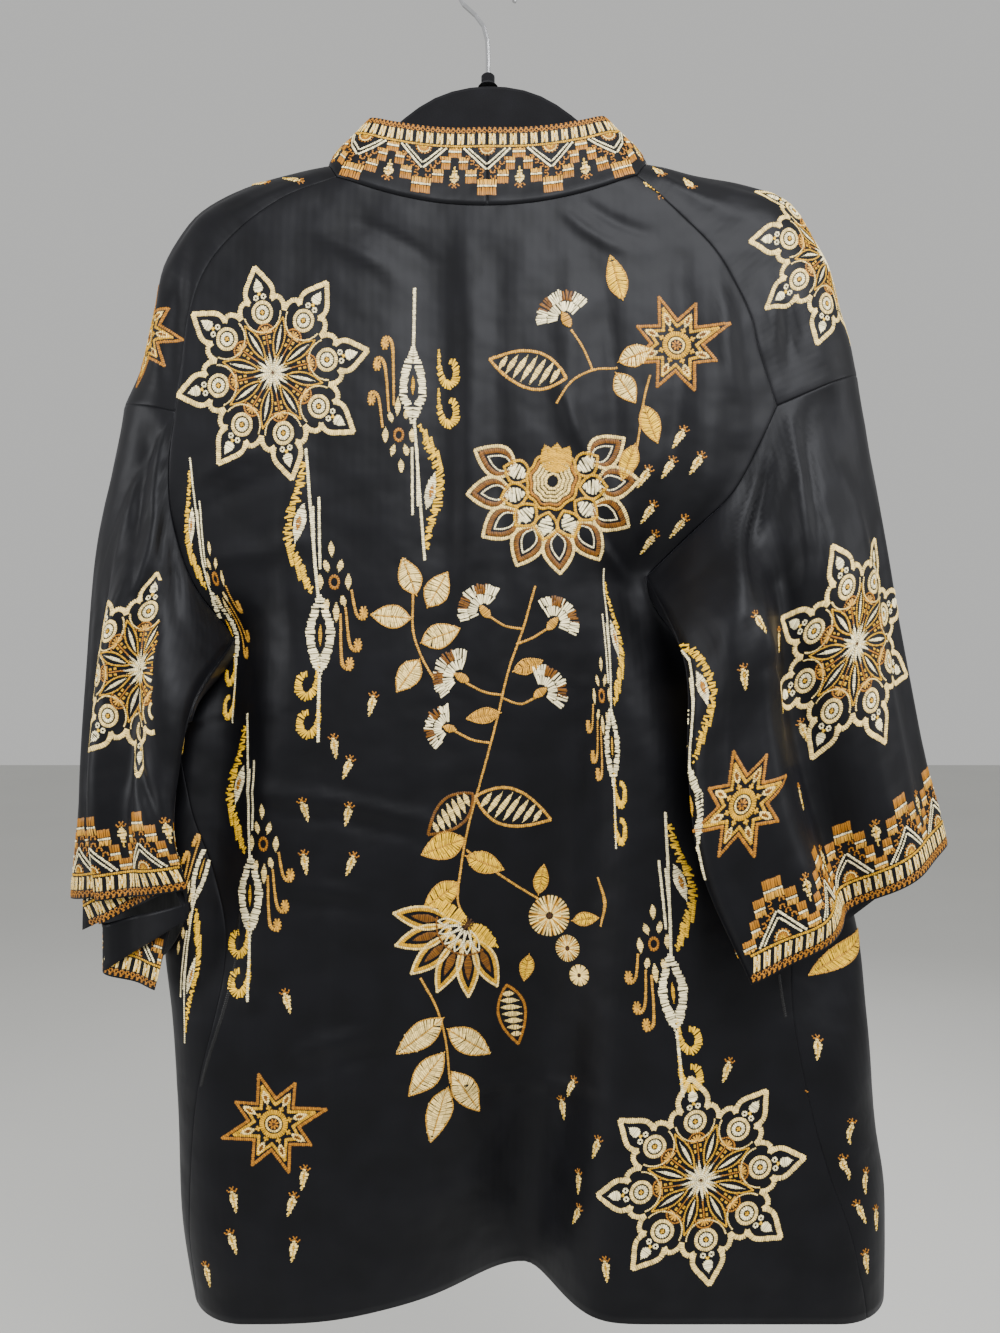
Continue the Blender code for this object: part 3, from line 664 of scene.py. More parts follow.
def turned_cuff():
    """Four parts of one strip, side by side. A row of TURNED is an end or the line between two
    parts: its top, its foot, and how far it stands behind the cuff's near layer. A row of
    WAYS_ACROSS gives a part's measure across: the way it runs in x, and its start."""
    near = SLEEVES["left"][-1, :TOP_OF_RING + 1]
    near = near[np.argsort(near[:, 0])]
    parts, across = [], []
    share = np.linspace(0, 1, 10)[:, None]
    for k, (way, offset) in enumerate(WAYS_ACROSS):
        t = np.linspace(0, 1, 25)[None, (1 if k else 0):]
        x, z, x_low, z_low, back = (TURNED[name][k] * (1 - t) + TURNED[name][k + 1] * t
                                    for name in ("x_top", "z_top", "x_low", "z_low", "back"))
        x, z = x + (x_low - x) * share, z + (z_low - z) * share
        y = np.interp(x, near[:, 0], near[:, 1]) + back
        parts.append(np.stack([x, y, z], -1))
        across.append(way * x + offset)
    points, across = np.concatenate(parts, axis=1), np.concatenate(across, axis=1)
    return make_panel(points, 1, -1, 0, -1, across, -points[..., 2])


PANELS = {"back": body_panel(BACK, 1, 0.0)}
for side in SIDES:
    PANELS["front_" + side] = body_panel(FRONT[side], -SIGN[side])
    PANELS["shoulder_" + side] = shoulder_panel(SHOULDER[side], side)
    PANELS["sleeve_" + side] = sleeve_panel(SLEEVES[side], side)
    PANELS["neckband_" + side] = band_panel(BAND[side], side)
    PANELS["gore_" + side] = gore_panel(side)
PANELS["cuff_turned"] = turned_cuff()
for name, cloth in PANELS.items():
    print(name, cloth["points"].shape[:2], "faces", cloth["normals"].mean(axis=(0, 1)).round(1))

# %% [markdown]
# ## Creases of the cloth
# The satin is light, so it hangs in long soft folds and keeps faint creases where it was
# folded and where the seams pull. Each crease is a row: from one flat place to another,
# so wide, so high above the cloth (or below it), and bent so far to one side. They could be
# sculpted or simulated, but a row is easy to move to where the photo shows its crease.
# Faint waves from a seeded draw keep the cloth between the creases from lying dead flat.

# %% Creases as tables
CREASE_COLUMNS = "u0 v0 u1 v1 wide high bend"
CREASE_ROWS = {
    "back": (
        (-15, 215, -22, 520, 9, 2.7, 6), (8, 230, 16, 470, 8, -2.0, -5),
        (40, 420, 66, 700, 10, 3.1, 6), (112, 420, 44, 300, 5, 2.7, 5),
        (104, 436, 58, 352, 4, -2.0, 4), (110, 445, 70, 410, 4, 2.2, -3),
        (-165, 578, -20, 604, 5, 2.5, 6), (-150, 592, -40, 612, 4, -1.7, 5),
        (-66, 770, 92, 786, 5, 2.5, -5), (-50, 782, 60, 797, 4, -1.5, -4),
        (-118, 205, -60, 236, 5, 1.9, 4), (-92, 196, -38, 222, 4, -1.4, 3),
        (52, 190, 92, 216, 4, 1.7, -3), (66, 182, 108, 204, 4, -1.4, -3),
        (-192, 372, -150, 350, 5, 2.0, 3), (-190, 392, -128, 366, 5, -1.7, 4),
        (-184, 420, -130, 412, 6, 2.0, -4), (-120, 250, -130, 520, 9, 2.0, -6),
        (60, 560, 34, 900, 9, 2.4, 8), (-90, 620, -104, 915, 10, 2.4, -6),
        (140, 560, 150, 900, 9, 2.0, 5), (-30, 600, -36, 900, 8, -1.9, 4),
        (152, 250, 138, 410, 13, 3.6, 4), (130, 230, 116, 400, 8, -2.6, 4),
        (56, 225, 62, 400, 8, 2.4, -4), (78, 240, 84, 380, 6, -2.0, 3),
        (158, 235, 168, 330, 7, 3.0, -3), (-138, 758, -80, 738, 5, 2.0, 4),
        (-130, 772, -70, 752, 5, -1.6, 4), (-131, 640, -85, 646, 4, 1.7, 1),
        (-128, 652, -84, 656, 4, -1.5, 1), (-165, 700, -158, 724, 5, 2.0, 2)),
    "front_left": (
        (40, 240, 70, 520, 9, 2.0, 6), (150, 470, 90, 330, 6, 2.2, 5),
        (140, 500, 70, 430, 5, -1.6, -4), (60, 560, 46, 880, 10, 2.2, 6),
        (110, 600, 128, 890, 9, -1.8, -5), (30, 640, 120, 622, 5, 1.6, 4)),
    "front_right": (
        (-36, 230, -60, 500, 9, 2.0, -6), (-96, 430, -60, 310, 6, 2.2, -5),
        (-100, 452, -44, 390, 5, -1.6, 4), (-70, 560, -52, 890, 10, 2.2, -6),
        (-150, 600, -160, 890, 9, 2.0, 6), (-30, 600, -130, 622, 5, -1.5, 4)),
    "sleeve_left": (
        (-60, -290, -90, -50, 9, 2.2, 6), (-130, -260, -140, -40, 8, -1.8, -5),
        (128, -262, 150, -20, 6, -5.0, -14), (60, -280, 84, -40, 9, 3.1, 5),
        (100, -250, 118, -30, 7, -2.4, 4), (20, -270, 34, -60, 8, 2.4, -4),
        (58, -335, 130, -200, 10, 3.4, 10), (46, -334, 111, -203, 7, -2.8, -4),
        (76, -335, 156, -190, 7, -3.4, 20)),
    "sleeve_right": (
        (60, -280, 90, -40, 9, 2.2, -6), (150, -240, 140, -50, 8, -1.8, 5),
        (-60, -290, -40, -40, 9, 3.1, 6), (-176, -205, -150, -130, 6, 2.7, 5),
        (-178, -180, -120, -150, 5, -2.0, 4), (-185, -220, -196, -60, 7, 2.7, -5),
        (-20, -240, -10, -70, 8, 2.4, 4), (-200, -262, -206, -150, 12, 4.5, 3),
        (-114, -321, -193, -211, 7, 3.0, 4), (-106, -315, -185, -205, 6, -3.8, 4),
        (-78, -325, -110, -200, 7, 2.8, 1), (-70, -323, -102, -198, 6, -2.6, 1)),
    "shoulder_left": (
        (-20, 30, -80, 44, 5, 1.9, 3), (-60, 20, -140, 22, 6, -1.7, -3),
        (-134, 38, -228, 62, 7, -4.0, 1), (-150, 22, -231, 47, 8, 3.0, 0)),
    "shoulder_right": (
        (10, 30, 76, 50, 5, 1.9, -3), (60, 24, 150, 28, 6, -1.7, 3), (163, 64, 208, 74, 5, -3.6, 0),
        (150, 72, 200, 88, 6, 2.8, 0)),
}
CREASES = {name: table(CREASE_COLUMNS, *rows) for name, rows in CREASE_ROWS.items()}


def crease_height(rows, across, down):
    """How far creases lift the cloth at flat places."""
    lift = np.zeros(across.shape)
    for k in range(len(rows["high"])):
        row = {name: column[k] for name, column in rows.items()}
        du, dv = row["u1"] - row["u0"], row["v1"] - row["v0"]
        far = math.hypot(du, dv)
        t = ((across - row["u0"]) * du + (down - row["v0"]) * dv) / far ** 2
        away = ((across - row["u0"]) * dv - (down - row["v0"]) * du) / far
        inside = np.clip(t, 0, 1)
        away = away - row["bend"] * 4 * inside * (1 - inside)
        beyond = (t - inside) * far / (row["wide"] * 2)
        swell = np.sin(np.pi * np.clip(0.08 + 0.84 * inside, 0, 1)) ** 0.7
        lift += row["high"] * swell * np.exp(-(away / row["wide"]) ** 2 - beyond ** 2)
    return lift


WAVE = 6.28


def restless(across, down, count, longest, shortest, height):
    """Faint waves of the hanging cloth, longer down than across, from a seeded draw."""
    lift = np.zeros(across.shape)
    for _ in range(count):
        wide = LUCK.uniform(shortest, longest)
        tall = wide * LUCK.uniform(2.5, 6)
        phase, turn = LUCK.uniform(0, WAVE, 2)
        slope = LUCK.uniform(-0.25, 0.25)
        sideways = np.sin(WAVE * (across + slope * down) / wide + phase)
        lift += sideways * np.sin(WAVE * down / tall + turn) / count ** 0.5
    return lift * height


print("creases:", sum(len(rows["high"]) for rows in CREASES.values()))

# %% Press the creases in
SEAM_CALM = 14.0
BAND_HALF_THICKNESS = 1.2


def from_edge(points):
    """How far the points of a grid lie from its nearest edge."""
    ways = [lengths(points, axis) for axis in (0, 1)]
    return np.minimum.reduce([ways[0], ways[0][-1:] - ways[0], ways[1],
                              ways[1][:, -1:] - ways[1]])


def press(cloth, name):
    """Adds the creases and waves to a panel, fading at its seams, with its new normals."""
    lift = restless(cloth["across"], cloth["down"], 9, 120, 45, 0.5)
    if name in CREASES:
        lift = lift + crease_height(CREASES[name], cloth["across"], cloth["down"])
    lift = lift * np.clip(from_edge(cloth["points"]) / SEAM_CALM, 0, 1)
    cloth["points"] = cloth["points"] + cloth["normals"] * lift[..., None]
    cloth["normals"] = panel_normals(cloth)
    return lift


for name, cloth in PANELS.items():
    if name in frame["nodes"] and not name.startswith("neckband"):
        lift = press(cloth, name)
        print(name, "creases from", lift.min().round(1), "to", lift.max().round(1), "mm")
GROUND = {name: dict(cloth) for name, cloth in PANELS.items()}
for name, cloth in GROUND.items():
    if name.startswith("neckband"):
        cloth["points"] = cloth["points"] + cloth["normals"] * BAND_HALF_THICKNESS

# %% [markdown]
# ## Seams
# At a seam the two cloths are turned in and sewn, so each edge rolls inwards within two or
# three millimetres and a fine dark line is left between them. A dark stripe in the colour
# would do from afar, but a roll is dark from every side. Two extra rows near each edge hold
# it, and each edge goes 0.3 mm past the seam, so that no light comes through. The hem and
# the cuffs are plain edges here.

# %% Roll the edges of a panel
NEW_ROWS = (0.5, 0.4)
ROLLS = ((-0.3, 0.5), (0.0, 0.13), (0.0, 0.02))


def with_rims(cloth, sewn):
    """Adds rows close to the sewn edges and rolls them: each by a pull inwards from the edge
    and a drop below the surface, in mm."""
    for edge, axis, end in (("top", 0, 0), ("foot", 0, -1), ("first", 1, 0), ("last", 1, -1)):
        if edge not in sewn:
            continue
        for share in NEW_ROWS:
            for name in GRIDS:
                values = cloth[name]
                a = np.take(values, [end], axis)
                b = np.take(values, [1 if end == 0 else -2], axis)
                new = a + (b - a) * share
                cut = 1 if end == 0 else values.shape[axis] - 1
                first, second = np.split(values, [cut], axis)
                cloth[name] = np.concatenate([first, new, second], axis)
        for place, (pull, roll) in enumerate(ROLLS):
            row = place if end == 0 else cloth["down"].shape[axis] - 1 - place
            index = (slice(None),) * axis + (row,)
            inwards = (slice(None),) * axis + (row + (1 if end == 0 else -1),)
            way = unit(cloth["points"][inwards] - cloth["points"][index])
            cloth["points"][index] += way * pull - cloth["normals"][index] * roll


SEWN = {"back": ("top", "first", "last"), "front": ("first", "last"),
        "shoulder": ("top", "foot", "first", "last"), "sleeve": ("top",)}
for name, cloth in PANELS.items():
    kind = name.split("_")[0]
    if kind in SEWN:
        with_rims(cloth, SEWN[kind])
        cloth["normals"] = panel_normals(cloth)
print("back with its rims", PANELS["back"]["points"].shape)

# %% [markdown]
# ## Colours and materials
# One function turns a colour as a screen shows it (sRGB hex) to the linear values that
# shaders work in, and one adds a node with its settings and links. The materials could be
# set up by hand in the shader editor, but in words each setting can be read and compared.

# %% Helpers for materials
def linear(hex_colour):
    """sRGB hex to linear red, green, blue and full opacity."""
    parts = [int(hex_colour[k:k + 2], 16) / 255 for k in (1, 3, 5)]
    return tuple(c / 12.92 if c <= 0.04045 else ((c + 0.055) / 1.055) ** 2.4
                 for c in parts) + (1.0,)


def add_node(tree, kind, settings=None, links=None):
    """A node with its settings (attributes or sockets by name) and the links to its inputs."""
    node = tree.nodes.new(kind)
    for key, value in (settings or {}).items():
        if key in node.inputs:
            node.inputs[key].default_value = value
        else:
            setattr(node, key, value)
    for key, source in (links or {}).items():
        tree.links.new(source, node.inputs[key])
    return node


def new_material(name):
    """A material with an empty node tree."""
    material = bpy.data.materials.new(name)
    material.use_nodes = True
    material.node_tree.nodes.clear()
    return material, material.node_tree


print("satin black in linear values", [round(c, 4) for c in linear("#0c0c0f")])

# %% [markdown]
# ## Black satin
# The cloth is a viscose satin: a weave whose warp floats over most of the weft, so its
# face is smooth and takes a broad grey sheen on each fold, while its ground stays black.
# Warp threads lie about 0.1 mm apart, too fine for this picture, so the faint ribs are
# drawn 5.7 mm apart. A second, larger pattern stands for the slight cockle of the cloth.
# Satin could also be made with an anisotropic gloss along the warp; here the creases do
# most of the work, so a plain broad gloss with a cool tint and a trace of sheen is enough.

# %% Make the satin
SATIN_RIB_MM = 5.655
SATIN_COCKLE_MM = 30.0
WAVE_PERIOD = 2 * math.pi / 20


def make_satin():
    """Black viscose satin: ribs and cockle as bumps, two blacks, the darker as painted shade in the
    cockle's hollows.
    """
    material, tree = new_material("viscose_satin_woven")
    flat = add_node(tree, "ShaderNodeUVMap", {"uv_map": "flat"})
    rib = add_node(tree, "ShaderNodeTexWave",
                   {"wave_type": "BANDS", "bands_direction": "X", "Distortion": 0.6,
                    "Detail": 1.0, "Scale": WAVE_PERIOD / (SATIN_RIB_MM * MM)},
                   {"Vector": flat.outputs["UV"]})
    cockle = add_node(tree, "ShaderNodeTexNoise",
                      {"Scale": 1 / (SATIN_COCKLE_MM * MM), "Detail": 1.5, "Roughness": 0.45},
                      {"Vector": flat.outputs["UV"]})
    fine = add_node(tree, "ShaderNodeBump", {"Strength": 0.10, "Distance": 0.0002},
                    {"Height": rib.outputs["Fac"]})
    soft = add_node(tree, "ShaderNodeBump", {"Strength": 0.5, "Distance": 0.0045},
                    {"Height": cockle.outputs["Fac"], "Normal": fine.outputs["Normal"]})
    # The colour follows the cockle's height: the darker black lies in its hollows, as painted
    # shade.
    tone = add_node(tree, "ShaderNodeMapRange",
                    {"From Min": 0.35, "From Max": 0.65, "To Min": 0.0, "To Max": 1.0},
                    {"Value": cockle.outputs["Fac"]})
    colour = add_node(tree, "ShaderNodeMix", {"data_type": "RGBA"})
    for socket in colour.inputs:
        if socket.type == "RGBA":
            socket.default_value = linear("#08080a" if socket.name == "A" else "#0c0c0f")
    tree.links.new(tone.outputs["Result"], colour.inputs["Factor"])
    mixed = [out for out in colour.outputs if out.type == "RGBA"][0]
    shader = add_node(tree, "ShaderNodeBsdfPrincipled",
                      {"Roughness": 0.50, "IOR": 1.5, "Specular IOR Level": 0.17,
                       "Specular Tint": linear("#f4f6fc"), "Sheen Weight": 0.05,
                       "Sheen Roughness": 0.4, "Sheen Tint": linear("#a0a0ae")},
                      {"Base Color": mixed, "Normal": soft.outputs["Normal"]})
    add_node(tree, "ShaderNodeOutputMaterial", links={"Surface": shader.outputs["BSDF"]})
    return material


SATIN = make_satin()
print("made", SATIN.name)

# %% [markdown]
# ## Cloth pieces
# Each panel becomes a mesh: one face to each cell of the grid, turned outwards, with the
# flat measures kept as its UV map. Solidify gives the cloth its 0.7 mm on the inside, which
# is quicker than a second layer of points and keeps the outside where it was measured.

# %% Make the cloth meshes
CLOTH_MM = 0.7
SCENE_OBJECTS = bpy.context.scene.collection.objects


def cloth_mesh(name, cloth, tube=False):
    """A mesh through a panel's points; a tube is joined up along its rows and capped."""
    points = cloth["points"]
    rows, columns = points.shape[:2]
    i, j = np.meshgrid(np.arange(rows - 1), np.arange(columns - (not tube)), indexing="ij")
    k = (j + 1) % columns
    corners = np.stack([i * columns + j, (i + 1) * columns + j,
                        (i + 1) * columns + k, i * columns + k], -1).reshape(-1, 4)
    step = np.cross(points[1:, :-1] - points[:-1, :-1], points[:-1, 1:] - points[:-1, :-1])
    outward = (step * cloth["normals"][:-1, :-1]).sum() > 0
    faces = (corners if outward else corners[:, ::-1]).tolist()
    if tube:
        last = (rows - 1) * columns
        caps = [list(range(columns)), list(range(last + columns - 1, last - 1, -1))]
        faces += caps if outward else [cap[::-1] for cap in caps]
    mesh = bpy.data.meshes.new(name)
    mesh.from_pydata((points * MM).reshape(-1, 3).tolist(), [], faces)
    flat = mesh.uv_layers.new(name="flat")
    uv = np.stack([cloth["across"], -cloth["down"]], -1).reshape(-1, 2) * MM
    order = np.concatenate([np.array(face) for face in faces])
    flat.data.foreach_set("uv", uv[order].astype(np.float32).ravel())
    mesh.shade_smooth()
    mesh.update()
    return mesh


def cloth_piece(node, cloth, tube=False):
    """The cloth of one panel as an object on the jacket, in place of the solid of its name."""
    name = "cloth_" + node
    piece = bpy.data.objects.new(name, cloth_mesh(name, cloth, tube))
    SCENE_OBJECTS.link(piece)
    if not tube:
        wall = piece.modifiers.new("cloth", "SOLIDIFY")
        wall.thickness = CLOTH_MM * MM
        wall.offset = -1.0
    piece.data.materials.append(SATIN)
    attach(piece, "root")
    if node in frame["nodes"]:
        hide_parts(node)
    return piece


for node, cloth in PANELS.items():
    if not node.startswith("neckband"):
        cloth_piece(node, cloth)

# %% [markdown]
# ## The folded neckband
# The strip is folded in two and sewn in at its open side, so it is 2.4 mm thick with a
# rounded free edge. The two halves meet in a seam at the centre back. Solidify would leave
# the folded edge square, so here the loop round the strip is built as a closed tube.

# %% Make the neckband
ROUNDED_FROM, ROUNDED_SHARE = 0.972, 0.028
SEAM_THICKNESS, SEAM_SHARE = 0.45, 0.03


def band_ring(cloth):
    """Round the band: its outer face to the free edge, then its inner face back again."""
    middle = cloth["points"]
    share = np.clip((BAND_SHARES - ROUNDED_FROM) / ROUNDED_SHARE, 0, 1)
    half = BAND_HALF_THICKNESS * np.sqrt(np.maximum(0, 1 - share ** 2))
    half = half * np.interp(BAND_SHARES, (0, SEAM_SHARE), (SEAM_THICKNESS, 1))
    reach = cloth["normals"] * half[None, :, None]
    return np.concatenate([middle + reach, (middle - reach)[:, -2::-1]], axis=1)


def band_tube(cloth):
    """The panel of the whole loop; its flat measures go on round to the inner face."""
    back = slice(-2, None, -1)
    loop = {name: np.concatenate([cloth[name], cloth[name][:, back]], axis=1)
            for name in ("across", "down", "normals")}
    loop["normals"][:, cloth["points"].shape[1]:] *= -1
    loop["points"] = band_ring(cloth)
    return loop


for side in SIDES:
    node = "neckband_" + side
    cloth_piece(node, band_tube(PANELS[node]), tube=True)

# %% [markdown]
# ## Needlework
# Every motif is worked in satin stitch: flat threads side by side, from one edge of a shape
# to the other. It could be a pattern on the cloth with a bump, but real needlework stands up
# from the cloth and shines in stripes that turn with each leaf, so every stitch is built. A
# motif is a list of stitches, and a stitch is two ends, a width, a level and a thread. Real
# threads lie 0.35 mm apart; here they lie 1.35 mm apart, about two pixels of the picture.

# %% Threads and lines
THREADS = {"white": "#fff0bc", "cream": "#fad984", "yellow": "#eeba14", "gold": "#d09a04",
           "tan": "#cf962c", "copper": "#a86c10", "rust": "#744705", "brown": "#43280a",
           "black": "#0b0b0d"}
NUMBER = {name: k for k, name in enumerate(THREADS)}
THREAD_PITCH = 1.35


def resample(line, count):
    """Even points along a line of straight pieces."""
    reach = running(steps_of(line))
    return read_line(line, reach, np.linspace(0, reach[-1], count))


def path(*points):
    """A smooth line through points."""
    p = np.array(points, float)
    p = np.vstack([2 * p[0] - p[1], p, 2 * p[-1] - p[-2]])
    t = (np.arange(8) / 8)[:, None]
    parts = [0.5 * (2 * b + (c - a) * t + (2 * a - 5 * b + 4 * c - d) * t ** 2
                    + (3 * b - a - 3 * c + d) * t ** 3)
             for a, b, c, d in zip(p, p[1:], p[2:], p[3:])]
    return np.vstack(parts + [p[-2:-1]])


def circle(x, y, radius, start=0.0, end=360.0, flat=1.0):
    """A circle or an arc between two angles, flattened where flat isn't 1."""
    turn = np.radians(np.linspace(start, end, 25))
    return np.stack([x + radius * np.cos(turn), y + radius * flat * np.sin(turn)], -1)


print("a path through two points has", len(path((0, 0), (5, 0))), "points")

# %% Stitches
OVERLAP = 1.04
SLANT = 0.15


def sewn(a, b, wide, thread, level, ragged):
    """Stitches between matching ends, each end a little off, as a needle leaves it."""
    ends = np.hstack([a, b]) + LUCK.normal(0, ragged, (len(a), 4))
    return np.column_stack([ends, np.full((len(a), 3), (wide, level, NUMBER[thread]))])


def satin(a, b, thread, level=0.0, ragged=0.12):
    """Satin stitch from the line a to the line b."""
    a, b = np.array(a, float), np.array(b, float)
    middle = max((steps_of(a).sum() + steps_of(b).sum()) / 2, 0.5)
    count = max(2, round(middle / THREAD_PITCH) + 1)
    return sewn(resample(a, count), resample(b, count), OVERLAP * middle / (count - 1), thread,
                level, ragged)


def cord(line, wide, thread, level=0.0, ragged=0.08):
    """A line of short slanted stitches, of one width or of widths spread along it."""
    line = np.array(line, float)
    far = steps_of(line).sum()
    count = max(3, round(far / THREAD_PITCH) + 1)
    middle = resample(line, count)
    way = unit(np.gradient(middle, axis=0))
    side = np.stack([-way[:, 1], way[:, 0]], -1)
    wide = np.atleast_1d(wide)
    wide = np.interp(np.linspace(0, 1, count), np.linspace(0, 1, len(wide)), wide)[:, None]
    reach = side * wide / 2 - way * wide * SLANT
    return sewn(middle + reach, middle - reach, OVERLAP * far / (count - 1), thread, level,
                ragged)


def ring(x, y, inner, outer, thread, level=0.0, start=0.0, end=360.0, flat=1.0):
    """A disc or part of one, its stitches pointing to the middle."""
    return satin(circle(x, y, inner, start, end, flat), circle(x, y, outer, start, end, flat),
                 thread, level, 0.06)


def leaf_edge(length, half, belly=0.42, start=0.0):
    """One edge of a pointed leaf that lies along x."""
    t = np.linspace(0, 1, 19)
    rise, fall = np.minimum(t, belly) / belly, (np.maximum(t, belly) - belly) / (1 - belly)
    swell = np.where(t < belly, np.sin(np.pi / 2 * rise) ** 0.8, np.cos(np.pi / 2 * fall) ** 0.9)
    return np.stack([start + length * t, half * np.maximum(swell, 0.02)], -1)


def leaf(length, half, thread, start=0.0, level=0.0, belly=0.42, ragged=0.12):
    """A leaf along x in upright satin stitch."""
    edge = leaf_edge(length, half, belly, start)
    return satin(edge, edge * (1, -1), thread, level, ragged)


def rim(length, half, wide, thread, start=0.0, level=0.0, belly=0.42):
    """The two edges of a leaf in cord."""
    edge = leaf_edge(length, half, belly, start)
    return np.vstack([cord(edge, wide, thread, level), cord(edge * (1, -1), wide, thread, level)])


print("a disc of radius 5 mm takes", len(ring(0, 0, 0, 5, "cream")), "stitches")

# %% Move and turn stitches
def moved(stitches, x=0.0, y=0.0, turn=0.0, size=1.0):
    """Stitches turned, sized and moved."""
    c, s = size * math.cos(math.radians(turn)), size * math.sin(math.radians(turn))
    out = stitches.copy()
    for k in (0, 2):
        out[:, k] = x + stitches[:, k] * c - stitches[:, k + 1] * s
        out[:, k + 1] = y + stitches[:, k] * s + stitches[:, k + 1] * c
    return out


def stretched(stitches, x, y=1.0):
    """Stitches stretched in x and y; -1 mirrors them."""
    return stitches * (x, y, x, y, 1, 1, 1)


def upright(stitches):
    """Stitches with x and y exchanged."""
    return stitches[:, [1, 0, 3, 2, 4, 5, 6]]


def around(piece, count, turn=0.0):
    """Copies of a piece all round the middle."""
    return np.vstack([moved(piece, turn=turn + 360 * k / count) for k in range(count)])


print("a stitch from x to y:", upright(np.arange(7.0)[None])[0, :4])

# %% [markdown]
# ## Rosette and star
# The rosettes are 140 mm across. Eight onion-shaped petals in cream cord stand round gold
# spindles; each holds a ringed disc and a small spade. The stars have eight uneven points,
# edged with one gold and one copper stripe. One petal or one point is drawn, in shares of
# the radius, and set round the middle; a star's points only differ in how far they reach.

# %% Draw the rosette and the star
def polar(radius, degrees):
    """A place at a distance and an angle from the middle."""
    return (radius * math.cos(math.radians(degrees)), radius * math.sin(math.radians(degrees)))


def rosette(r):
    """A rosette of radius r: eight petals, a spindle between each two, and the spokes."""
    lobe = path(*[polar(a * r, b) for a, b in ((0.60, 22.3), (0.655, 20.5), (0.70, 16.8),
                                               (0.712, 13.2), (0.69, 10.2))])
    tip = path(*[polar(a * r, b) for a, b in ((0.69, 10.0), (0.755, 10.9), (0.82, 9.2),
                                              (0.90, 4.6), (1.0, 0.0))])
    half = np.vstack([cord(lobe, 0.048 * r, "cream"), cord(tip, 0.048 * r, "cream"),
                      ring(0.715 * r, 0.040 * r, 0.010 * r, 0.028 * r, "white")])
    petal = np.vstack([
        half, stretched(half, 1, -1),
        ring(0.57 * r, 0, 0.078 * r, 0.112 * r, "cream"),
        ring(0.57 * r, 0, 0.030 * r, 0.066 * r, "white"),
        ring(0.57 * r, 0, 0, 0.022 * r, "gold", 0.15),
        leaf(0.12 * r, 0.048 * r, "white", 0.765 * r, belly=0.25),
        ring(0.745 * r, 0, 0, 0.018 * r, "yellow", 0.2),
        ring(0.375 * r, 0, 0.006 * r, 0.066 * r, "tan", 0, -88, 88),
        cord(circle(0.375 * r, 0, 0.084 * r, -88, 88), 0.016 * r, "copper"),
        cord(circle(0.575 * r, 0, 0.19 * r, 100, 260), 0.014 * r, "cream"),
        cord([(0.36 * r, 0), (0.19 * r, 0)], 0.013 * r, "copper"),
        *[ring(a * r, b * r, 0, 0.015 * r, "gold", 0.1) for a in (0.335, 0.285)
          for b in (-0.028, 0.028)]])
    spindle = np.vstack([rim(0.38 * r, 0.056 * r, 0.016 * r, "gold", 0.14 * r, belly=0.5),
                         leaf(0.25 * r, 0.016 * r, "white", 0.19 * r, 0.1, 0.5)])
    spokes = np.vstack([leaf(0.17 * r, 0.015 * r, "white", 0.02 * r, 0.2),
                        moved(leaf(0.13 * r, 0.013 * r, "white", 0.02 * r, 0.25), turn=22.5),
                        moved(leaf(0.15 * r, 0.010 * r, "cream", 0.02 * r, 0.2), turn=11)])
    return np.vstack([around(petal, 8), around(spindle, 8, 22.5), around(spokes, 8),
                      ring(0, 0, 0, 0.022 * r, "brown", 0.35)])


STAR_TIPS = (1.0, 0.84, 0.93, 0.80, 0.98, 0.86, 0.90, 0.78)


def star(r):
    """A star of radius r, each point edged twice, with a leaf inside and discs in the middle."""
    parts = []
    for k, tip in enumerate(STAR_TIPS):
        point = []
        for inset, thread in ((0.028, "copper"), (0.088, "gold")):
            end = (r * (tip - inset * 3.4), 0)
            for way in (1, -1):
                inner = polar(r * (0.46 - inset * 1.6), 22.5 * way)
                point.append(cord([inner, end], 0.050 * r, thread))
        point += [leaf(0.24 * r, 0.060 * r, "cream", 0.33 * r, belly=0.5),
                  leaf(0.12 * r, 0.030 * r, "rust", 0.385 * r, 0.25, 0.5),
                  ring(0.27 * r, 0, 0, 0.045 * r, "gold", 0.05)]
        parts.append(moved(np.vstack(point), turn=45 * k))
    parts += [ring(0, 0, 0.155 * r, 0.235 * r, "gold"), ring(0, 0, 0.10 * r, 0.14 * r, "cream"),
              ring(0, 0, 0, 0.085 * r, "copper", 0.1), ring(0, 0, 0, 0.03 * r, "brown", 0.4)]
    return np.vstack(parts)


print("stitches: rosette", len(rosette(70)), "star", len(star(40)))

# %% [markdown]
# ## Spindle, drop and border
# The long spindles look like warp-dyed (ikat) figures: a white lozenge on a line, a ragged
# gold strip, a ring of oval beads and hooked stems. The drops are small cream tears with a
# double scroll. The border runs along the neckband and the cuffs: scrolls, tiles, a gold
# line, chevrons with fans, and stepped stacks of blocks with a drop between each two. All
# are drawn from short lines and leaves in millimetres, because that is how they are sewn.

# %% Draw the spindle
HOOK_SHORTENED = 0.75


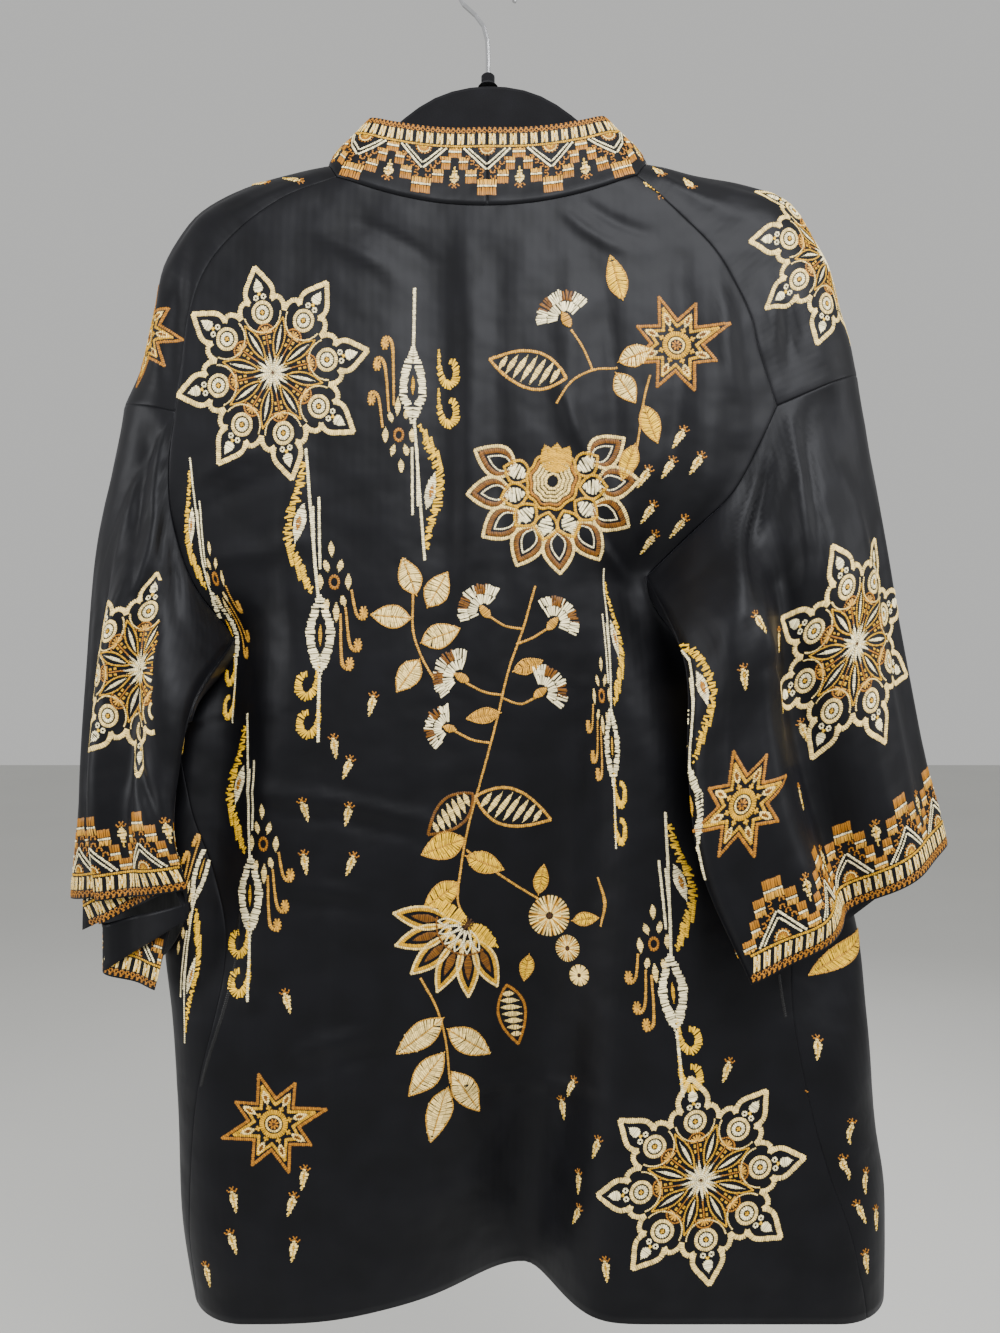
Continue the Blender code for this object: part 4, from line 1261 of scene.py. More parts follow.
def spindle(curls="beside"):
    """Drawn 182 mm tall, with its curls beside the lozenge; or with its curls beyond it and
    shorter hooks, as on those that are worked the other way up; or without curls."""
    side = path((0, 54), (-2.5, 47), (-6.5, 39), (-8.6, 28), (-8.4, 18), (-5, 8), (-1.5, 0))
    core = path((0, 54), (0, 44), (-0.6, 38), (-3.2, 31), (-3.6, 24), (-3.2, 17), (-0.6, 10),
                (0, 0))
    lozenge = satin(side, core, "white", ragged=0.4)
    beads = ((-10, 10.6, 12, 88), (-4, 6, 7, 80), (-14.6, 3.5, 7, 105), (-0.4, -8.6, 9, 92),
             (-18, -8.6, 10, 88), (-13, -18.5, 7.5, 75), (-4.4, -18.5, 7.5, 105),
             (-7.6, -29, 9, 92))
    curl = cord(path((-6.8, 13), (-6.6, 6), (-5.8, -1), (-3.4, -6.4), (0.8, -8.2), (4.4, -5.4),
                     (5.2, 0), (3.8, 4.6), (0.6, 6)), (1.2, 1.8, 3.2, 4.6, 5.2, 5.2, 5, 4.4, 3),
                "yellow", 0, 0.3)
    stems = (path((-12.6, 12), (-13, 35), (-13.8, 51), (-16, 56.5), (-19, 56.5), (-19.6, 52.5)),
             path((-16, 8), (-17.4, 28), (-19, 39), (-21.6, 43), (-24.6, 42), (-24.6, 38)),
             path((-20, -3), (-21.6, 10), (-23, 17), (-25.6, 20), (-28.2, 19), (-28.2, 15)))
    if curls != "beside":
        stems = [line * (1, HOOK_SHORTENED) + (0, line[0, 1] * (1 - HOOK_SHORTENED))
                 for line in stems]
    places = {"beside": ((24, 35), (24, 8.5)), "beyond": ((8, 55), (7, 79)), "none": ()}
    curl = stretched(curl, 1, 1.15 if curls == "beside" else -1.0)
    return np.vstack([
        lozenge, stretched(lozenge, -1),
        moved(upright(leaf(13, 1.3, "gold", level=0.1, belly=0.5)), 0, 18.5),
        cord([(0.7, 91), (0.3, 50)], 2.0, "white"), cord([(1, 2), (8, -91)], 1.9, "white"),
        cord([(-0.4, -17), (0, -61)], 1.7, "white"), cord([(3.0, -18), (3.6, -55)], 1.6, "white"),
        moved(leaf(25, 3.6, "white", ragged=0.2), 9.5, -57, 78),
        moved(leaf(10, 1.6, "copper", level=0.25), 11.5, -50, 78),
        cord(path((5, -2), (9, -12), (16, -28), (18.6, -38), (16.4, -54), (12, -68), (9.4, -83)),
             (2, 4, 4.6, 5, 4.6, 4.4, 2.6), "yellow", ragged=0.8),
        cord([(8.4, -5), (11, -17)], 2.4, "yellow"), cord([(12, -10), (14.6, -22)], 2.4, "yellow"),
        cord([(16.5, -19), (19.5, -32)], 2.4, "yellow"),
        *[moved(leaf(d, 2.0, "cream", -d / 2, belly=0.5), x, y, t) for x, y, d, t in beads],
        ring(-9.2, -8.4, 2.0, 3.6, "copper", flat=1.35),
        *[cord(line, (1.6, 1.6, 1.7, 1.9, 2.4, 2.2), "tan") for line in stems],
        *[ring(line[-1, 0] + 0.8, line[-1, 1] + 0.4, 0.2, 2.7, "tan", 0.1, 100, 400, 1.7)
          for line in stems],
        *[moved(curl, x, y) for x, y in places[curls]]])


print("stitches: spindle", len(spindle()))

# %% Draw the drop and the border
def drop():
    """A stepped tear 17 mm long, its tip along y, with a double scroll at its foot."""
    y = np.linspace(-4.2, 9, 25)
    half = np.interp(y, (-4.2, -2.5, -0.5, 1.2, 1.4, 3.2, 3.4, 5.4, 5.6, 8, 9),
                     (0.9, 1.6, 3.1, 3.2, 2.3, 2.4, 1.6, 1.5, 0.9, 0.8, 0.4))
    edge = np.stack([half, y], -1)
    curls = [cord(circle(way * 1.7, -5.9, 1.4, 90 - way * 75, 90 + way * 150), 0.9, "copper")
             for way in (-1, 1)]
    return np.vstack([satin(edge, edge * (-1, 1), "cream", ragged=0.35), *curls,
                      upright(leaf(5, 0.8, "gold", -3, 0.3, 0.5)),
                      cord([(0, 3.5), (0, 8)], 0.9, "yellow", 0.3)])


BORDER_PERIOD, TILES, TILE_HALF = 43.5, 6, 0.45
STEPS = ((0, 47.6, 12.6, 5.2, 7.0), (10.6, 39.2, 7.6, 4.4, 6.2), (15.8, 28.6, 6.0, 4.0, 6.0),
         (21.75, 20.6, 8.6, 2.6, 4.6))


THREAD_HALF = 0.7


def step(x, y, wide, above, below):
    """One block of a stack: tan stitches, a white line, then copper ones, all upright."""
    ends = np.array([x - wide / 2 + THREAD_HALF, x + wide / 2 - THREAD_HALF])
    lines = [np.stack([ends, np.full(2, y + d)], -1) for d in (-above, -0.9, 1.1, below)]
    return np.vstack([satin(lines[0], lines[1], "tan", ragged=0.3),
                      cord([(ends[0], y), (ends[1], y)], 1.4, "white", 0.2),
                      satin(lines[2], lines[3], "copper")])


def border_unit():
    """One repeat, x along the edge and y in from it."""
    end = BORDER_PERIOD / 2
    parts = [cord([(-end, 16.2), (end, 16.2)], 1.5, "gold", 0.1)]
    for k in range(TILES):
        x = -end + BORDER_PERIOD / TILES * (k + 0.5)
        for half in (-1.4, 1.4):
            left, right = x + half - TILE_HALF, x + half + TILE_HALF
            parts += [satin([(left, 5.9), (right, 6.3)], [(left, 14.9), (right, 14.5)], "cream"),
                      cord(circle(x + 1.3 * half, 3.9, 1.25, 200 - 90 * half, 480 - 90 * half),
                           1.0, "copper"),
                      cord([(x + 1.3 * half, 1.3), (x + 1.3 * half, 2.6)], 1.7, "copper")]
        parts += [moved(upright(leaf(7, 1.1, "gold", 7, 0.25, 0.5)), x),
                  cord([(x, 9.6), (x, 11.6)], 0.9, "white", 0.5)]
    for way in (-1, 1):
        parts += [cord([(way * 15.4, 18.2), (way * 0.9, 34.2)], 1.5, "white", 0.2),
                  cord([(way * 12.2, 18.2), (way * 0.7, 30.2)], 1.2, "white", 0.2),
                  *[step(way * x, *rest) for x, *rest in STEPS[1:]]]
        for x, y in ((3.8, 36.0), (7.0, 32.8), (10.2, 29.2), (13.4, 25.6), (4.2, 40.6)):
            parts.append(cord(circle(way * x, y, 1.5, 45 * way - 60, 45 * way + 150), 1.0,
                              "copper", 0.25))
    parts += [step(*STEPS[0]), ring(0, 18.0, 0.5, 5.8, "copper", 0.1, 3, 177),
              cord(circle(0, 18.2, 4.2, 8, 172), 0.9, "cream", 0.5),
              ring(0, 18.2, 0.2, 2.2, "gold", 0.5, 3, 177)]
    fall = moved(stretched(drop(), 1, -1), end, 41.5)
    return np.vstack(parts + [fall])


print("stitches: drop", len(drop()), "border unit", len(border_unit()))

# %% [markdown]
# ## Flowers and leaves
# The spray on the back is of ordinary garden motifs, drawn here in a generic way: a layered
# flower, a lily, carnations, leaves with bars or veins, ringed discs and curved stems. Each
# is a function of its size, made of the same leaves and cords, so it can be used again.

# %% Draw leaves
def veined_leaf(length, half, thread, vein="tan"):
    """Two sides of slanted stitches that meet at a vein, edged in cord."""
    edge = leaf_edge(length, half)
    middle = np.stack([np.linspace(length * 0.10, length, 19), np.zeros(19)], -1)
    upper = satin(edge, middle, thread, ragged=0.3)
    return np.vstack([upper, stretched(upper, 1, -1), rim(length, half, 0.9, vein, 0, 0.2),
                      cord([(-1, 0), (length * 0.85, 0)], 0.7, vein, 0.4)])


def barred_leaf(length, half, edge_thread, bar_thread):
    """A leaf with an edge in cord and a row of steep ovals inside."""
    parts = [rim(length, half, 2.0, edge_thread)]
    edge = leaf_edge(length, half - 2.2)
    for share in np.arange(0.14, 0.86, 0.115):
        x = share * length
        y = np.interp(x, edge[:, 0], edge[:, 1])
        parts.append(moved(leaf(2 * y, 1.9, bar_thread, -y, belly=0.5), x, 0, 72))
    return np.vstack(parts)


print("a leaf's edge has", len(leaf_edge(25, 7)), "points")

# %% Draw flowers
def layered_flower(r):
    """Pointed petals round three quarters of a striped head, with a gold calyx."""
    petal = np.vstack([rim(0.50 * r, 0.185 * r, 0.040 * r, "cream", 0.50 * r, 0.0, 0.4),
                       rim(0.41 * r, 0.135 * r, 0.055 * r, "rust", 0.52 * r, 0.0, 0.4),
                       rim(0.30 * r, 0.085 * r, 0.020 * r, "white", 0.54 * r, 0.0, 0.4)])
    inner = np.vstack([rim(0.32 * r, 0.135 * r, 0.034 * r, "gold", 0.30 * r, 0.25, 0.5),
                       leaf(0.22 * r, 0.085 * r, "white", 0.34 * r, 0.25, 0.6, 0.4)])
    parts = [moved(petal, turn=30 * k) for k in range(9)]
    parts += [moved(inner, turn=34 * k + 2) for k in range(8)]
    turn = np.radians(np.arange(0, 361, 6))
    for k, thread in enumerate(("gold", "copper", "cream", "cream", "cream", "cream")):
        far = r * (0.33 - 0.048 * k) * (1 + 0.05 * np.sin(9 * turn))
        wave = np.stack([far * np.cos(turn) * 0.9 + 0.04 * r, far * np.sin(turn) - 0.06 * r], -1)
        parts.append(cord(wave, 0.034 * r, thread, 0.45))
    parts += [moved(leaf(0.34 * r, 0.12 * r, "gold", 0, 0.6), 0.06 * r, -0.16 * r, 290 + 25 * k)
              for k in (-1, 0, 1)]
    return np.vstack(parts)


def lily(r):
    """A side view: long gold petals that open along x, from two broad yellow sepals."""
    petal = np.vstack([rim(0.76 * r, 0.150 * r, 0.035 * r, "cream", 0.24 * r, 0.15, 0.45),
                       rim(0.68 * r, 0.115 * r, 0.050 * r, "gold", 0.26 * r, 0.0, 0.45),
                       leaf(0.34 * r, 0.055 * r, "rust", 0.42 * r, 0.1)])
    parts = [moved(petal, turn=turn) for turn in (-62, -37, -12, 13, 38, 63)]
    parts += [moved(leaf(0.55 * r, 0.12 * r, "yellow", 0, 0.3, ragged=0.3), turn=turn)
              for turn in (-88, 88)]
    parts += [moved(rim(0.30 * r, 0.045 * r, 0.022 * r, "white", 0.10 * r, 0.45, 0.6), turn=turn)
              for turn in range(-60, 61, 24)]
    parts += [cord(circle(0, 0, 0.42 * r, -66, 66), 0.03 * r, "rust", 0.4),
              ring(0, 0, 0, 0.09 * r, "brown", 0.5)]
    return np.vstack(parts)


def carnation(r):
    """A side view: white petals fringed in white and rust over a calyx; it opens along y."""
    parts = []
    for turn in (-60, -30, 0, 30, 60):
        arc = circle(0, 0, 0.55 * r, 90 + turn - 14, 90 + turn + 14)
        parts += [satin(arc * 0.45, arc, "white", 0.2, 0.35),
                  satin(arc * 1.02, arc * 1.62, "rust" if turn % 60 else "white", 0.0, 0.5)]
    return np.vstack(parts + [moved(leaf(0.55 * r, 0.15 * r, "tan", -0.30 * r, 0.4), turn=90)])


def daisy(r):
    """A disc of cream and tan wedges, its stitches pointing to the middle."""
    wedge = np.vstack([ring(0, 0, 0.18 * r, r, "cream", 0, 0, 22),
                       ring(0, 0, 0.18 * r, r, "tan", 0, 23, 35)])
    return np.vstack([around(wedge, 10), ring(0, 0, 0, 0.17 * r, "brown", 0.2)])


print("flowers:", [flower.__name__ for flower in (layered_flower, lily, carnation, daisy)])

# %% Put the spray together
STEM_WIDTH = 1.5


def stem(*points):
    """A stem through points, in tan cord."""
    return cord(path(*points), STEM_WIDTH, "tan")


def spray():
    """Drawn 595 mm tall and 194 mm wide; ordinary flowers, put together for this lesson."""
    cream, yellow = "cream", "yellow"
    leaves = ((72, 196, -70, 26, 6.5, yellow), (66, 170, -110, 24, 6, yellow),
              (56, 226, 20, 23, 7, cream), (54, 218, -58, 23, 7, cream),
              (-80, 71, 110, 25, 7.5, cream), (-72, 63, 60, 26, 8, cream),
              (-84, 55, 175, 26, 7.5, cream), (-76, 39, 20, 27, 8, cream),
              (-78, 27, 235, 25, 7.5, cream), (-14, 20, 20, 20, 5, "tan"),
              (-24, -8, 190, 22, 5, "tan"), (-48, -92, 200, 30, 9, yellow),
              (-46, -104, -22, 27, 7, yellow), (-52, -122, 215, 28, 7.5, yellow),
              (4, -132, 80, 20, 5, yellow), (30, -150, 10, 18, 4.5, yellow),
              (-2, -176, 260, 18, 5, yellow), (-64, -214, 215, 38, 8.5, cream),
              (-60, -222, -35, 36, 8.5, cream), (-64, -238, 228, 36, 8.5, cream),
              (-58, -252, -58, 36, 8.5, cream), (-62, -262, 250, 38, 9, cream))
    parts = [moved(veined_leaf(length, half, thread), x, y, turn)
             for x, y, turn, length, half, thread in leaves]
    return np.vstack(parts + [
        moved(layered_flower(57), 12, 142, 155), moved(lily(50), -46, -150, -128),
        moved(carnation(22), 20, 254, 25), stem((14, 198), (24, 212), (38, 220), (54, 222)),
        stem((38, 220), (32, 234), (24, 246)), stem((64, 150), (68, 172), (72, 200), (76, 216)),
        moved(barred_leaf(52, 12.5, "tan", cream), 20, 214, 165),
        moved(veined_leaf(30, 6.5, yellow), 58, 268, 105),
        stem((-68, 15), (-76, 29), (-82, 47), (-82, 71)),
        stem((0, 76), (-8, 48), (-18, 20), (-26, -14), (-34, -44), (-46, -88), (-52, -124)),
        moved(carnation(20), -34, 60, 40), moved(carnation(20), 12, 52, -42),
        moved(carnation(21), -50, 16, 62), moved(carnation(20), 4, 6, -55),
        moved(carnation(18), -58, -18, 75), stem((-8, 48), (-20, 50), (-30, 56)),
        stem((-12, 38), (-2, 42), (8, 48)), stem((-22, 4), (-34, 6), (-46, 12)),
        stem((-22, 2), (-10, -2), (0, 2)), stem((-30, -28), (-42, -26), (-54, -20)),
        moved(barred_leaf(54, 12.5, "tan", cream), -40, -64, -18),
        moved(barred_leaf(40, 10, "rust", cream), -42, -62, 222),
        stem((-52, -124), (-52, -136), (-46, -150)), stem((-46, -100), (-20, -120), (4, -136)),
        moved(daisy(14.5), 12, -148), moved(daisy(9.5), 26, -170), moved(daisy(7.5), 36, -188),
        stem((-78, -186), (-68, -206), (-62, -230), (-60, -258)),
        moved(barred_leaf(44, 10, "copper", cream), -18, -196, -78),
        cord(path((46, -120), (52, -136), (50, -152)), (1.2, 2.6, 1.2), "tan")])


print("stitches in the spray", len(spray()))

# %% [markdown]
# ## Where the motifs lie
# The spray, rosettes, stars, spindles and drops are sewn on each panel before the jacket is
# made up, so seams cut through some of them. A row gives the motif, its place in the flat
# measures of the panel, its size and its turn in degrees; a minus before its name mirrors
# it. The rosettes, stars, spindles and drops that show are where the photo has them, and the
# spray fills the same part of the back in a layout of its own. The fronts and the far sides
# of the sleeves don't show, so their motifs are a guess. Some spindles are worked the other
# way up, and are narrow or plain where a fold hides a part. The welts are the black lips of
# the two pocket slits. A motif is drawn once and placed often, as a pattern is.

# %% The motifs, drawn once
NARROWED = 0.55
MOTIFS = {"rosette": rosette(70.0), "star": star(40.0), "spindle": spindle(), "drop": drop(),
          "border": border_unit(), "turned spindle": spindle("beyond"),
          "narrow spindle": stretched(spindle("beyond"), NARROWED),
          "side spindle": stretched(spindle("none"), NARROWED),
          "plain spindle": spindle("none"),
          "long welt": cord(path((0, 0), (-6, -50), (-26, -112)), 2.2, "black"),
          "short welt": cord(path((0, 0), (2, -12), (5, -26)), 2.2, "black"), "spray": spray(),
          "tall rosette": stretched(moved(rosette(70.0), turn=12), 0.92, 1.04),
          "leaf": veined_leaf(62, 6.8, "yellow")}
print("motifs:", ", ".join(MOTIFS))

# %% Place the motifs
def drops(*rows):
    """Rows for drops that differ only in place and turn."""
    return tuple(("drop", u, v, 1, turn) for u, v, turn in rows)


PLACES = {
    "back": (
        ("tall rosette", -143, 299, 1, 0), ("rosette", 165, 832, 0.98, 12),
        ("star", 126, 280, 1.02, 20), ("star", -146, 796, 1.0, 15), ("spindle", -50, 332, 1, 0),
        ("turned spindle", -112, 447, 1.06, 180), ("narrow spindle", -187, 444, 0.97, 184),
        ("turned spindle", -160, 621, 1.04, 180), ("-narrow spindle", 83, 522, 1.03, 184),
        ("-turned spindle", 130, 685, 1.03, 190), ("spray", 32, 517, 1, 0),
        ("long welt", -168, 660, 1, 0), ("short welt", 207, 701, 1, 0),
        *drops((114, 175, 50), (128, 341, 150), (121, 361, 150), (139, 359, 150),
               (105, 367, 150), (109, 390, 150), (131, 399, 150), (113, 409, 150),
               (-77, 518, 168), (-102, 546, 188), (-93, 560, 160), (-122, 588, 195),
               (-93, 591, 168), (-122, 623, 188), (-91, 624, 160), (-135, 715, 195),
               (-128, 830, 168), (-175, 844, 188), (-137, 847, 160), (-178, 871, 195),
               (-138, 876, 168), (-199, 895, 188), (66, 783, 160), (58, 800, 195), (93, 815, 168),
               (80, 843, 188), (82, 865, 160), (110, 891, 195), (175, 760, 168), (233, 779, 195)),
    ),
    "shoulder_right": (
        ("rosette", 149, 12, 0.98, 8),
        *drops((14, 28, 50), (39, 34, 50)),
    ),
    "sleeve_right": (
        ("rosette", -70, -159, 1.0, 10), ("star", -194, -103, 1.0, 5),
        ("-plain spindle", -231, -140, 1.0, 184),
        *drops((-176, -209, 195), (-134, -188, 168), (-192, -181, 188), (-137, -149, 160),
               (-114, -122, 195), (-133, -86, 168)),
        ("rosette", 110, -170, 0.9, 10),
        *drops((40, -90, 170), (60, -250, 188), (180, -90, 168), (150, -70, 195)),
    ),
    "sleeve_left": (
        ("rosette", 129, -147, 1.0, 0), ("star", -110, -170, 1, 20),
        *drops((-60, -90, 170), (-150, -100, 188), (-80, -240, 168), (-40, -190, 195)),
    ),
    "cuff_turned": (
        ("border", -236, 700.3, 1, -13.6), ("border", -376.3, 661.7, 1, 28.2),
        ("border", -338, 641.1, 1, 28.2),
    ),
    "shoulder_left": (
        ("star", -194, 21, 1.05, 10),
        *drops((-30, 29, 40), (-50, 17, 40)),
    ),
    "front_left": (
        ("rosette", 84, 360, 0.95, 8), ("spindle", 50, 560, 1, 0), ("star", 92, 770, 1, 12),
        *drops((110, 560, 170), (124, 590, 188), (108, 620, 168), (60, 850, 195),
               (90, 870, 170), (44, 240, 188)),
        ("side spindle", 212, 655, 1.0, -9),
    ),
    "front_right": (
        ("star", -70, 330, 1, 12), ("turned spindle", -50, 480, 1, 180),
        ("rosette", -96, 730, 0.98, 4),
        *drops((-110, 520, 170), (-124, 552, 188), (-96, 580, 168), (-60, 860, 195),
               (-130, 870, 170), (-40, 240, 188), (-277, 746, 160), (-271, 801, 168),
               (-286, 823, 188), (-271, 835, 160), (-283, 853, 195), (-269, 861, 168),
               (-283, 886, 188)),
        ("leaf", -207, 676, 1, 205),
    ),
}
print("motifs placed:", sum(len(rows) for rows in PLACES.values()))

# %% Gather the stitches of a panel
CUT_AT = {"sleeve_left": ((-230, -181, -138, -98, -59), (131, 141, 152, 156, 160))}
BORDER = border_unit()


def repeat(place, wide, way):
    """One border repeat at a place along the edge; way says which way is in from it."""
    return moved(stretched(BORDER, wide / BORDER_PERIOD, way), place)


def on_panel(name):
    """All stitches of a panel in its flat measures. Where a panel has a line in CUT_AT, the
    motifs end there, as where a deep fold swallows the rest."""
    parts = []
    for motif, u, v, size, turn in PLACES.get(name, ()):
        piece = MOTIFS[motif.lstrip("-")]
        piece = stretched(piece, -1) if motif.startswith("-") else piece
        parts.append(moved(stretched(moved(piece, turn=turn, size=size), 1, -1), u, v))
    if name in CUT_AT:
        inside = [piece[:, [0, 2]].max(axis=1) < np.interp(piece[:, 1], *CUT_AT[name])
                  for piece in parts]
        parts = [piece[kept] for piece, kept in zip(parts, inside)]
    across = GROUND[name]["across"]
    if name.startswith("sleeve"):
        low, high = np.sort(across[-1, [0, -1]])
        count = round((high - low) / BORDER_PERIOD)
        wide = (high - low) / count
        parts += [repeat(low + (k + 0.5) * wide, wide, -1) for k in range(count)]
    if name.startswith("neckband"):
        end = across[-1, 0]
        count = round(abs(end) / BORDER_PERIOD + 0.5)
        wide = abs(end) / (count - 0.5)
        parts += [repeat(math.copysign(k * wide, end), wide, 1) for k in range(count)]
    return np.vstack(parts)


LONGEST_STITCH, UNEVEN = 7.0, 0.22


def split_long(stitches):
    """Stitches over 7 mm are caught down on the way, at uneven places."""
    parts = []
    far = np.hypot(stitches[:, 2] - stitches[:, 0], stitches[:, 3] - stitches[:, 1])
    count = np.maximum(1, np.ceil(far / LONGEST_STITCH)).astype(int)
    for pieces in np.unique(count):
        some = stitches[count == pieces]
        cuts = [np.zeros(len(some))]
        cuts += [(k + LUCK.uniform(-UNEVEN, UNEVEN, len(some))) / pieces
                 for k in range(1, pieces)]
        cuts.append(np.ones(len(some)))
        for a, b in zip(cuts, cuts[1:]):
            part = some.copy()
            way = some[:, 2:4] - some[:, 0:2]
            part[:, 0:2] = some[:, 0:2] + way * a[:, None]
            part[:, 2:4] = some[:, 0:2] + way * b[:, None]
            parts.append(part)
    return np.vstack(parts)


print("stitches on the right shoulder:", len(on_panel("shoulder_right")))

# %% [markdown]
# ## From flat places to the hanging cloth
# A flat place has to be found again on the cloth, between the points of the grid. It starts
# from the nearest of every fourth point, and a few of Newton's steps bring it to the place.
# Looking through every cell would find it too, but far more slowly.

# %% Find flat places on the cloth
EVERY, BLOCK, NEWTON_STEPS, LONGEST_STEP = 4, 4000, 8, 3


def read_grid(values, row, column):
    """Values of a grid at places between its points."""
    i = np.clip(row.astype(int), 0, values.shape[0] - 2)
    j = np.clip(column.astype(int), 0, values.shape[1] - 2)
    a, b = row - i, column - j
    if values.ndim == 3:
        a, b = a[:, None], b[:, None]
    return ((values[i, j] * (1 - b) + values[i, j + 1] * b) * (1 - a)
            + (values[i + 1, j] * (1 - b) + values[i + 1, j + 1] * b) * a)


def find_places(cloth, flat):
    """Rows and columns of flat places, and how far each one misses."""
    across, down = cloth["across"], cloth["down"]
    nodes = np.stack([grid[::EVERY, ::EVERY].ravel() for grid in (across, down)], -1)
    wide = across[::EVERY, ::EVERY].shape[1]
    row, column = np.zeros(len(flat)), np.zeros(len(flat))
    for start in range(0, len(flat), BLOCK):
        some = slice(start, start + BLOCK)
        gap = ((flat[some, None] - nodes) ** 2).sum(axis=2)
        near = gap.argmin(axis=1)
        row[some], column[some] = near // wide * EVERY, near % wide * EVERY
    for step_number in range(NEWTON_STEPS + 1):
        row = np.clip(row, 0, across.shape[0] - 1.001)
        column = np.clip(column, 0, across.shape[1] - 1.001)
        miss = flat - np.stack([read_grid(across, row, column), read_grid(down, row, column)], -1)
        if step_number == NEWTON_STEPS:
            return row, column, np.hypot(miss[:, 0], miss[:, 1])
        i, j = row.astype(int), column.astype(int)
        ar, ac = across[i + 1, j] - across[i, j], across[i, j + 1] - across[i, j]
        dr, dc = down[i + 1, j] - down[i, j], down[i, j + 1] - down[i, j]
        area = ar * dc - ac * dr
        area = np.where(np.abs(area) < 1e-6, 1e-6, area)
        row = row + np.clip((miss[:, 0] * dc - miss[:, 1] * ac) / area,
                            -LONGEST_STEP, LONGEST_STEP)
        column = column + np.clip((miss[:, 1] * ar - miss[:, 0] * dr) / area,
                                  -LONGEST_STEP, LONGEST_STEP)


middle = find_places(GROUND["back"], np.array([[0.0, 500.0]]))
print("the middle of the back lies at row", middle[0].round(1), "column", middle[1].round(1))

# %% [markdown]
# ## From stitches to threads
# Each stitch becomes a small bar: four corners on the cloth and a ridge of two points above
# it, rounded by smooth shading. It is about a third as high as wide, so a row of them has
# the ribbed look of satin stitch. Curves with a bevel would be rounder, but there are some
# 70,000 stitches, and six triangles are enough for one that is two pixels wide.
# The thread is rayon, bright and smooth, in nine colours. A number per stitch varies its
# tone a little at random, and is low at the foot of each bar: painted shade, for the shadow
# that lies between two real threads.

# %% Make the thread materials
def make_thread(name, hex_colour):
    """Rayon thread: a bright smooth fibre, its colour scaled by a random tone and painted shade."""
    material, tree = new_material("rayon_thread_" + name)
    tone_and_painted_shade = add_node(tree, "ShaderNodeAttribute", {"attribute_name": "tone_and_painted_shade"})
    spread = add_node(tree, "ShaderNodeMapRange", {"To Min": 0.16, "To Max": 1.64},
                      {"Value": tone_and_painted_shade.outputs["Fac"]})
    colour = add_node(tree, "ShaderNodeHueSaturation", {"Color": linear(hex_colour)},
                      {"Value": spread.outputs["Result"]})
    shader = add_node(tree, "ShaderNodeBsdfPrincipled",
                      {"Roughness": 0.5, "IOR": 1.5, "Specular IOR Level": 0.3},
                      {"Base Color": colour.outputs["Color"]})
    add_node(tree, "ShaderNodeOutputMaterial", links={"Surface": shader.outputs["BSDF"]})
    return material


THREAD_MATERIALS = [make_thread(name, value) for name, value in THREADS.items()]
print("threads:", [material.name for material in THREAD_MATERIALS])

# %% The shape of the bars
THREAD_HEIGHT, THREAD_LIFT = 0.42, 0.05
RIDGE_INSET_SHARE, RIDGE_INSET_MOST = 0.25, 0.5
BAR_FACES = np.array([(0, 1, 5), (0, 5, 4), (2, 3, 4), (2, 4, 5), (1, 2, 5), (3, 0, 4)])


def bar_corners(ends, normals, stitches):
    """Six points to a stitch: its foot, anticlockwise, then the two ends of its ridge."""
    way = unit(ends[1] - ends[0])
    far = np.linalg.norm(ends[1] - ends[0], axis=1, keepdims=True)
    side = unit(np.cross(normals[0] + normals[1], way))
    wide, level = stitches[:, 4:5], stitches[:, 5:6]
    low = THREAD_LIFT + level
    high = low + THREAD_HEIGHT * np.minimum(1, wide)
    inset = np.minimum(RIDGE_INSET_SHARE * far, RIDGE_INSET_MOST)
    a, b = ends[0] + normals[0] * low, ends[1] + normals[1] * low
    reach = side * wide / 2
    return np.stack([a - reach, b - reach, b + reach, a + reach,
                     ends[0] + normals[0] * high + way * inset,
                     ends[1] + normals[1] * high - way * inset], 1)


print("triangles to a stitch:", len(BAR_FACES))

# %% Sew the threads
MOST_MISS = 0.6
# A stitch's tone is drawn between PALEST and 1; its foot gets FOOT_PAINTED_SHADE of it, painted
# shade between threads.
PALEST, FOOT_PAINTED_SHADE = 0.45, 0.15


